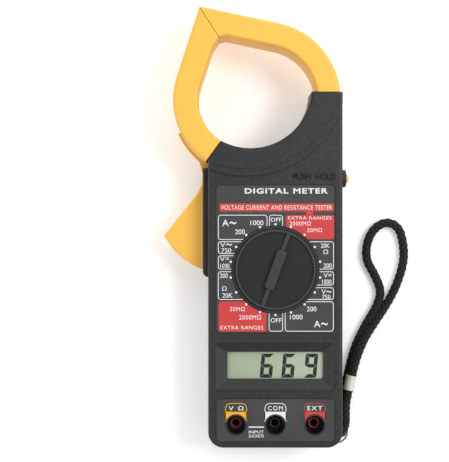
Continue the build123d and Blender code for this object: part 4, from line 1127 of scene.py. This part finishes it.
class METER_OT_socket_print(Operator):
    """Printing on the film round the sockets, and painted shade along the film's edges"""

    bl_idname = "meter.socket_print"
    bl_label = "Socket label printing"

    def execute(self, context):
        settings = context.scene.meter_print
        colours = context.scene.meter_colours
        film_z = jack_high.z
        ink_z = film_z + settings.ink
        white = bpy.data.materials["white_ink"]
        red = bpy.data.materials["red_ink"]
        amber = printed("amber_ink", colours.amber)
        names = ("volt", "common", "outer")
        words = ("V Ω", "COM", "EXT")
        arch = self.arch(film_z, ink_z, settings)
        for name, word, ink, place in zip(names, words, (amber, white, red), socket_places()):
            settle(f"{name}_arch", [copied(arch, place)], ink)
            low = place.y + settings.arch_fill + settings.name_gap
            half = settings.name_half
            edges = (place.x - half, place.x + half, low, low + settings.name_height)
            settle(f"{name}_name", [lettering(word, edges, film_z, ink_z, 0.012, 1.25)], white)
        bpy.data.objects.remove(arch)
        self.marks(film_z, ink_z, settings, white)
        return {"FINISHED"}

    def arch(self, base, top, settings):
        """Outlined arch over a socket at the origin, filled round the socket's ring."""
        half, foot = settings.arch_half, settings.arch_foot
        outline = plate((-half, half, foot, settings.arch_top), base, top, ARCH_CORNER, settings.line, 2)
        fill = plate((-half, half, foot, settings.arch_fill), base, top)
        for vertex in outline.data.vertices:
            if vertex.co.y < foot + ARCH_FOOT_ZONE:
                vertex.co.y = foot + (vertex.co.y - foot) * ARCH_FOOT_SHARE
                if abs(vertex.co.x) > half - 0.9 * settings.line:
                    vertex.co.x = math.copysign(half, vertex.co.x)
        centre = (0, 0, base)
        return joined("arch", [without_disc(piece, centre, settings.guard) for piece in (outline, fill)])

    def marks(self, base, top, settings, white):
        """Rule and small words between the left two sockets, painted shade along the film's edge, and three
        plain triangles.
        """
        rule = plate(metres(SOCKET_RULE), base, top)
        settle("socket_note", [rule, *written(SOCKET_WORDS, base, top, 0.01)], white)
        # Painted shade: a dark line along the film's edge
        edges = (jack_low.x, jack_high.x, jack_low.y, jack_high.y)
        edge_shade = plate(edges, base, top, LABEL_CORNER, settings.edge_shade)
        settle("socket_edge_shade", [edge_shade], bpy.data.materials["painted_shade_black"])
        outline = polygon(3, settings.triangle, (0, 0, base))
        triangle = raised(outline, top - base, rim=settings.triangle_line)
        triangles = repeated(triangle, [(x * MM, y * MM, 0) for x, y in TRIANGLES])
        settle("plain_triangles", triangles, printed("dark_red_ink", (0.16, 0.02, 0.02)))


class METER_OT_display_figures(Operator):
    """Dark bars of the reading in the display, and painted shade round the window and its frame"""

    bl_idname = "meter.display_figures"
    bl_label = "Display figures"

    def execute(self, context):
        settings = context.scene.meter_display
        base = glass_high.z
        top = base + BAR_RISE
        low = settings.figure_low - settings.window_low
        bars = []
        for number, piece in enumerate(figure_bars(settings, base, top)):
            bars += repeated(piece, [(left * MM, low, 0) for lit, left in READING if lit[number]])
        ink = Finish("display_figure", specular_ior_level=0.1)
        grain = ink.grain(0.2 * MM, 2.0)
        shade = context.scene.meter_colours.figure
        ink.set(base_color=ink.mixed(grain, shade, paler(shade, 0.02)), roughness=0.35 + 0.2 * grain)
        settle("display_reading", bars, ink.material)
        # Painted shade: dark lines along the window's edge and round the sunk frame
        side = settings.window_half
        edges = (-side, side, -settings.window_low, -settings.window_high)
        mask = plate(edges, lens_top, lens_top + SHADE_LINE_RISE, WINDOW_SHADE_CORNER, settings.mask)
        line = settings.frame_line
        side = settings.frame_half + line
        edges = (-side, side, -settings.frame_low - line, -settings.frame_high + line)
        outline = plate(edges, FRONT_FACE, FRONT_FACE + SHADE_LINE_RISE, FRAME_CORNER, line)
        settle("window_edge_shade", [mask, outline], bpy.data.materials["painted_shade_black"])
        return {"FINISHED"}


class METER_OT_moulded_letters(Operator):
    """Raised letters by the button, and the arrow on the battery door"""

    bl_idname = "meter.moulded_letters"
    bl_label = "Moulded letters"

    def execute(self, context):
        settings = context.scene.meter_print
        colours = context.scene.meter_colours
        shade = darker(colours.case, 0.3)
        plastic = moulded("letter_plastic", shade, 0.6, edge_wear_and_highlight=0.01, specular_ior_level=0.15)
        base, top = FRONT_FACE - LETTER_ROOT, FRONT_FACE + settings.letter_rise
        settle("button_lettering", written(BUTTON_WORDS, base, top, 0.0), plastic)
        low, high = door_face - DOOR_LETTER_RISE, door_face + LETTER_ROOT
        words = [turned_over(word) for word in written(DOOR_WORDS, low, high)]
        middle = (0, DOOR_ARROW_Y * MM, (low + high) / 2)
        only()
        bpy.ops.mesh.primitive_cylinder_add(
            vertices=3, radius=settings.arrow, depth=high - low, location=middle
        )
        bpy.ops.transform.rotate(value=math.pi, orient_axis="Z", center_override=middle)
        bpy.ops.object.transform_apply()
        settle("door_lettering", [*words, context.object], plastic, "door")
        return {"FINISHED"}


class METER_OT_rear_print(Operator):
    """Plain form lines on the rear label"""

    bl_idname = "meter.rear_print"
    bl_label = "Rear label printing"

    def execute(self, context):
        base, top = rear_low.z - REAR_INK, rear_low.z
        left, right = rear_low.x + REAR_MARGIN, rear_high.x - REAR_MARGIN
        low, high = rear_low.y + REAR_MARGIN, rear_high.y - REAR_MARGIN
        frame_line = plate((left, right, low, high), base, top, 1.0 * MM, 0.35 * MM)
        half, indent = 0.15 * MM, 2 * MM
        row = plate((left + indent, right - indent, low - half, low + half), base, top)
        rows = repeated(row, [(0, (high - low) * number / REAR_ROWS, 0) for number in range(1, REAR_ROWS)])
        edges = (-16 * MM, 16 * MM, high - 3.6 * MM, high - 1.0 * MM)
        words = turned_over(lettering("9 V BATTERY", edges, base, top))
        settle("rear_form", [frame_line, *rows, words], printed("rear_ink", (0.03, 0.03, 0.035)))
        return {"FINISHED"}


class METER_OT_finishes(Operator):
    """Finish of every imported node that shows"""

    bl_idname = "meter.finishes"
    bl_label = "Finishes"

    def execute(self, context):
        left = set(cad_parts) - {"strap_cord", "strap_band"}
        for names, finish in node_finishes(context.scene.meter_colours).items():
            for name in names:
                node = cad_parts[name]
                if not node.material_slots:
                    node.data.materials.append(finish)
                for slot in node.material_slots:
                    slot.material = finish
                left.discard(name)
        if left:
            raise RuntimeError(f"no finish for {sorted(left)}")
        return {"FINISHED"}


class METER_PT_pieces(Panel):
    """Buttons for the meter's pieces"""

    bl_idname = "METER_PT_pieces"
    bl_label = "Clamp Meter"
    bl_space_type = "VIEW_3D"
    bl_region_type = "UI"
    bl_category = "Meter"

    def draw(self, context):
        for operator in OPERATORS:
            self.layout.operator(operator.bl_idname)


SETTINGS = {
    "meter_print": MeterPrintSettings,
    "meter_display": MeterDisplaySettings,
    "meter_strap": MeterStrapSettings,
    "meter_colours": MeterColours,
    "meter_stage": MeterStageSettings,
}
OPERATORS = (
    METER_OT_stage,
    METER_OT_wrist_strap,
    METER_OT_front_print,
    METER_OT_socket_print,
    METER_OT_display_figures,
    METER_OT_moulded_letters,
    METER_OT_rear_print,
    METER_OT_finishes,
)


def register():
    for group in SETTINGS.values():
        bpy.utils.register_class(group)
    for name, group in SETTINGS.items():
        setattr(bpy.types.Scene, name, PointerProperty(type=group))
    for operator in OPERATORS:
        bpy.utils.register_class(operator)
    bpy.utils.register_class(METER_PT_pieces)


def unregister():
    bpy.utils.unregister_class(METER_PT_pieces)
    for operator in reversed(OPERATORS):
        bpy.utils.unregister_class(operator)
    for name, group in SETTINGS.items():
        delattr(bpy.types.Scene, name)
        bpy.utils.unregister_class(group)


def main():
    register()
    bpy.ops.meter.stage()
    bpy.ops.meter.wrist_strap()
    bpy.ops.meter.front_print()
    bpy.ops.meter.socket_print()
    bpy.ops.meter.display_figures()
    bpy.ops.meter.moulded_letters()
    bpy.ops.meter.rear_print()
    bpy.ops.meter.finishes()


if __name__ == "__main__":
    main()
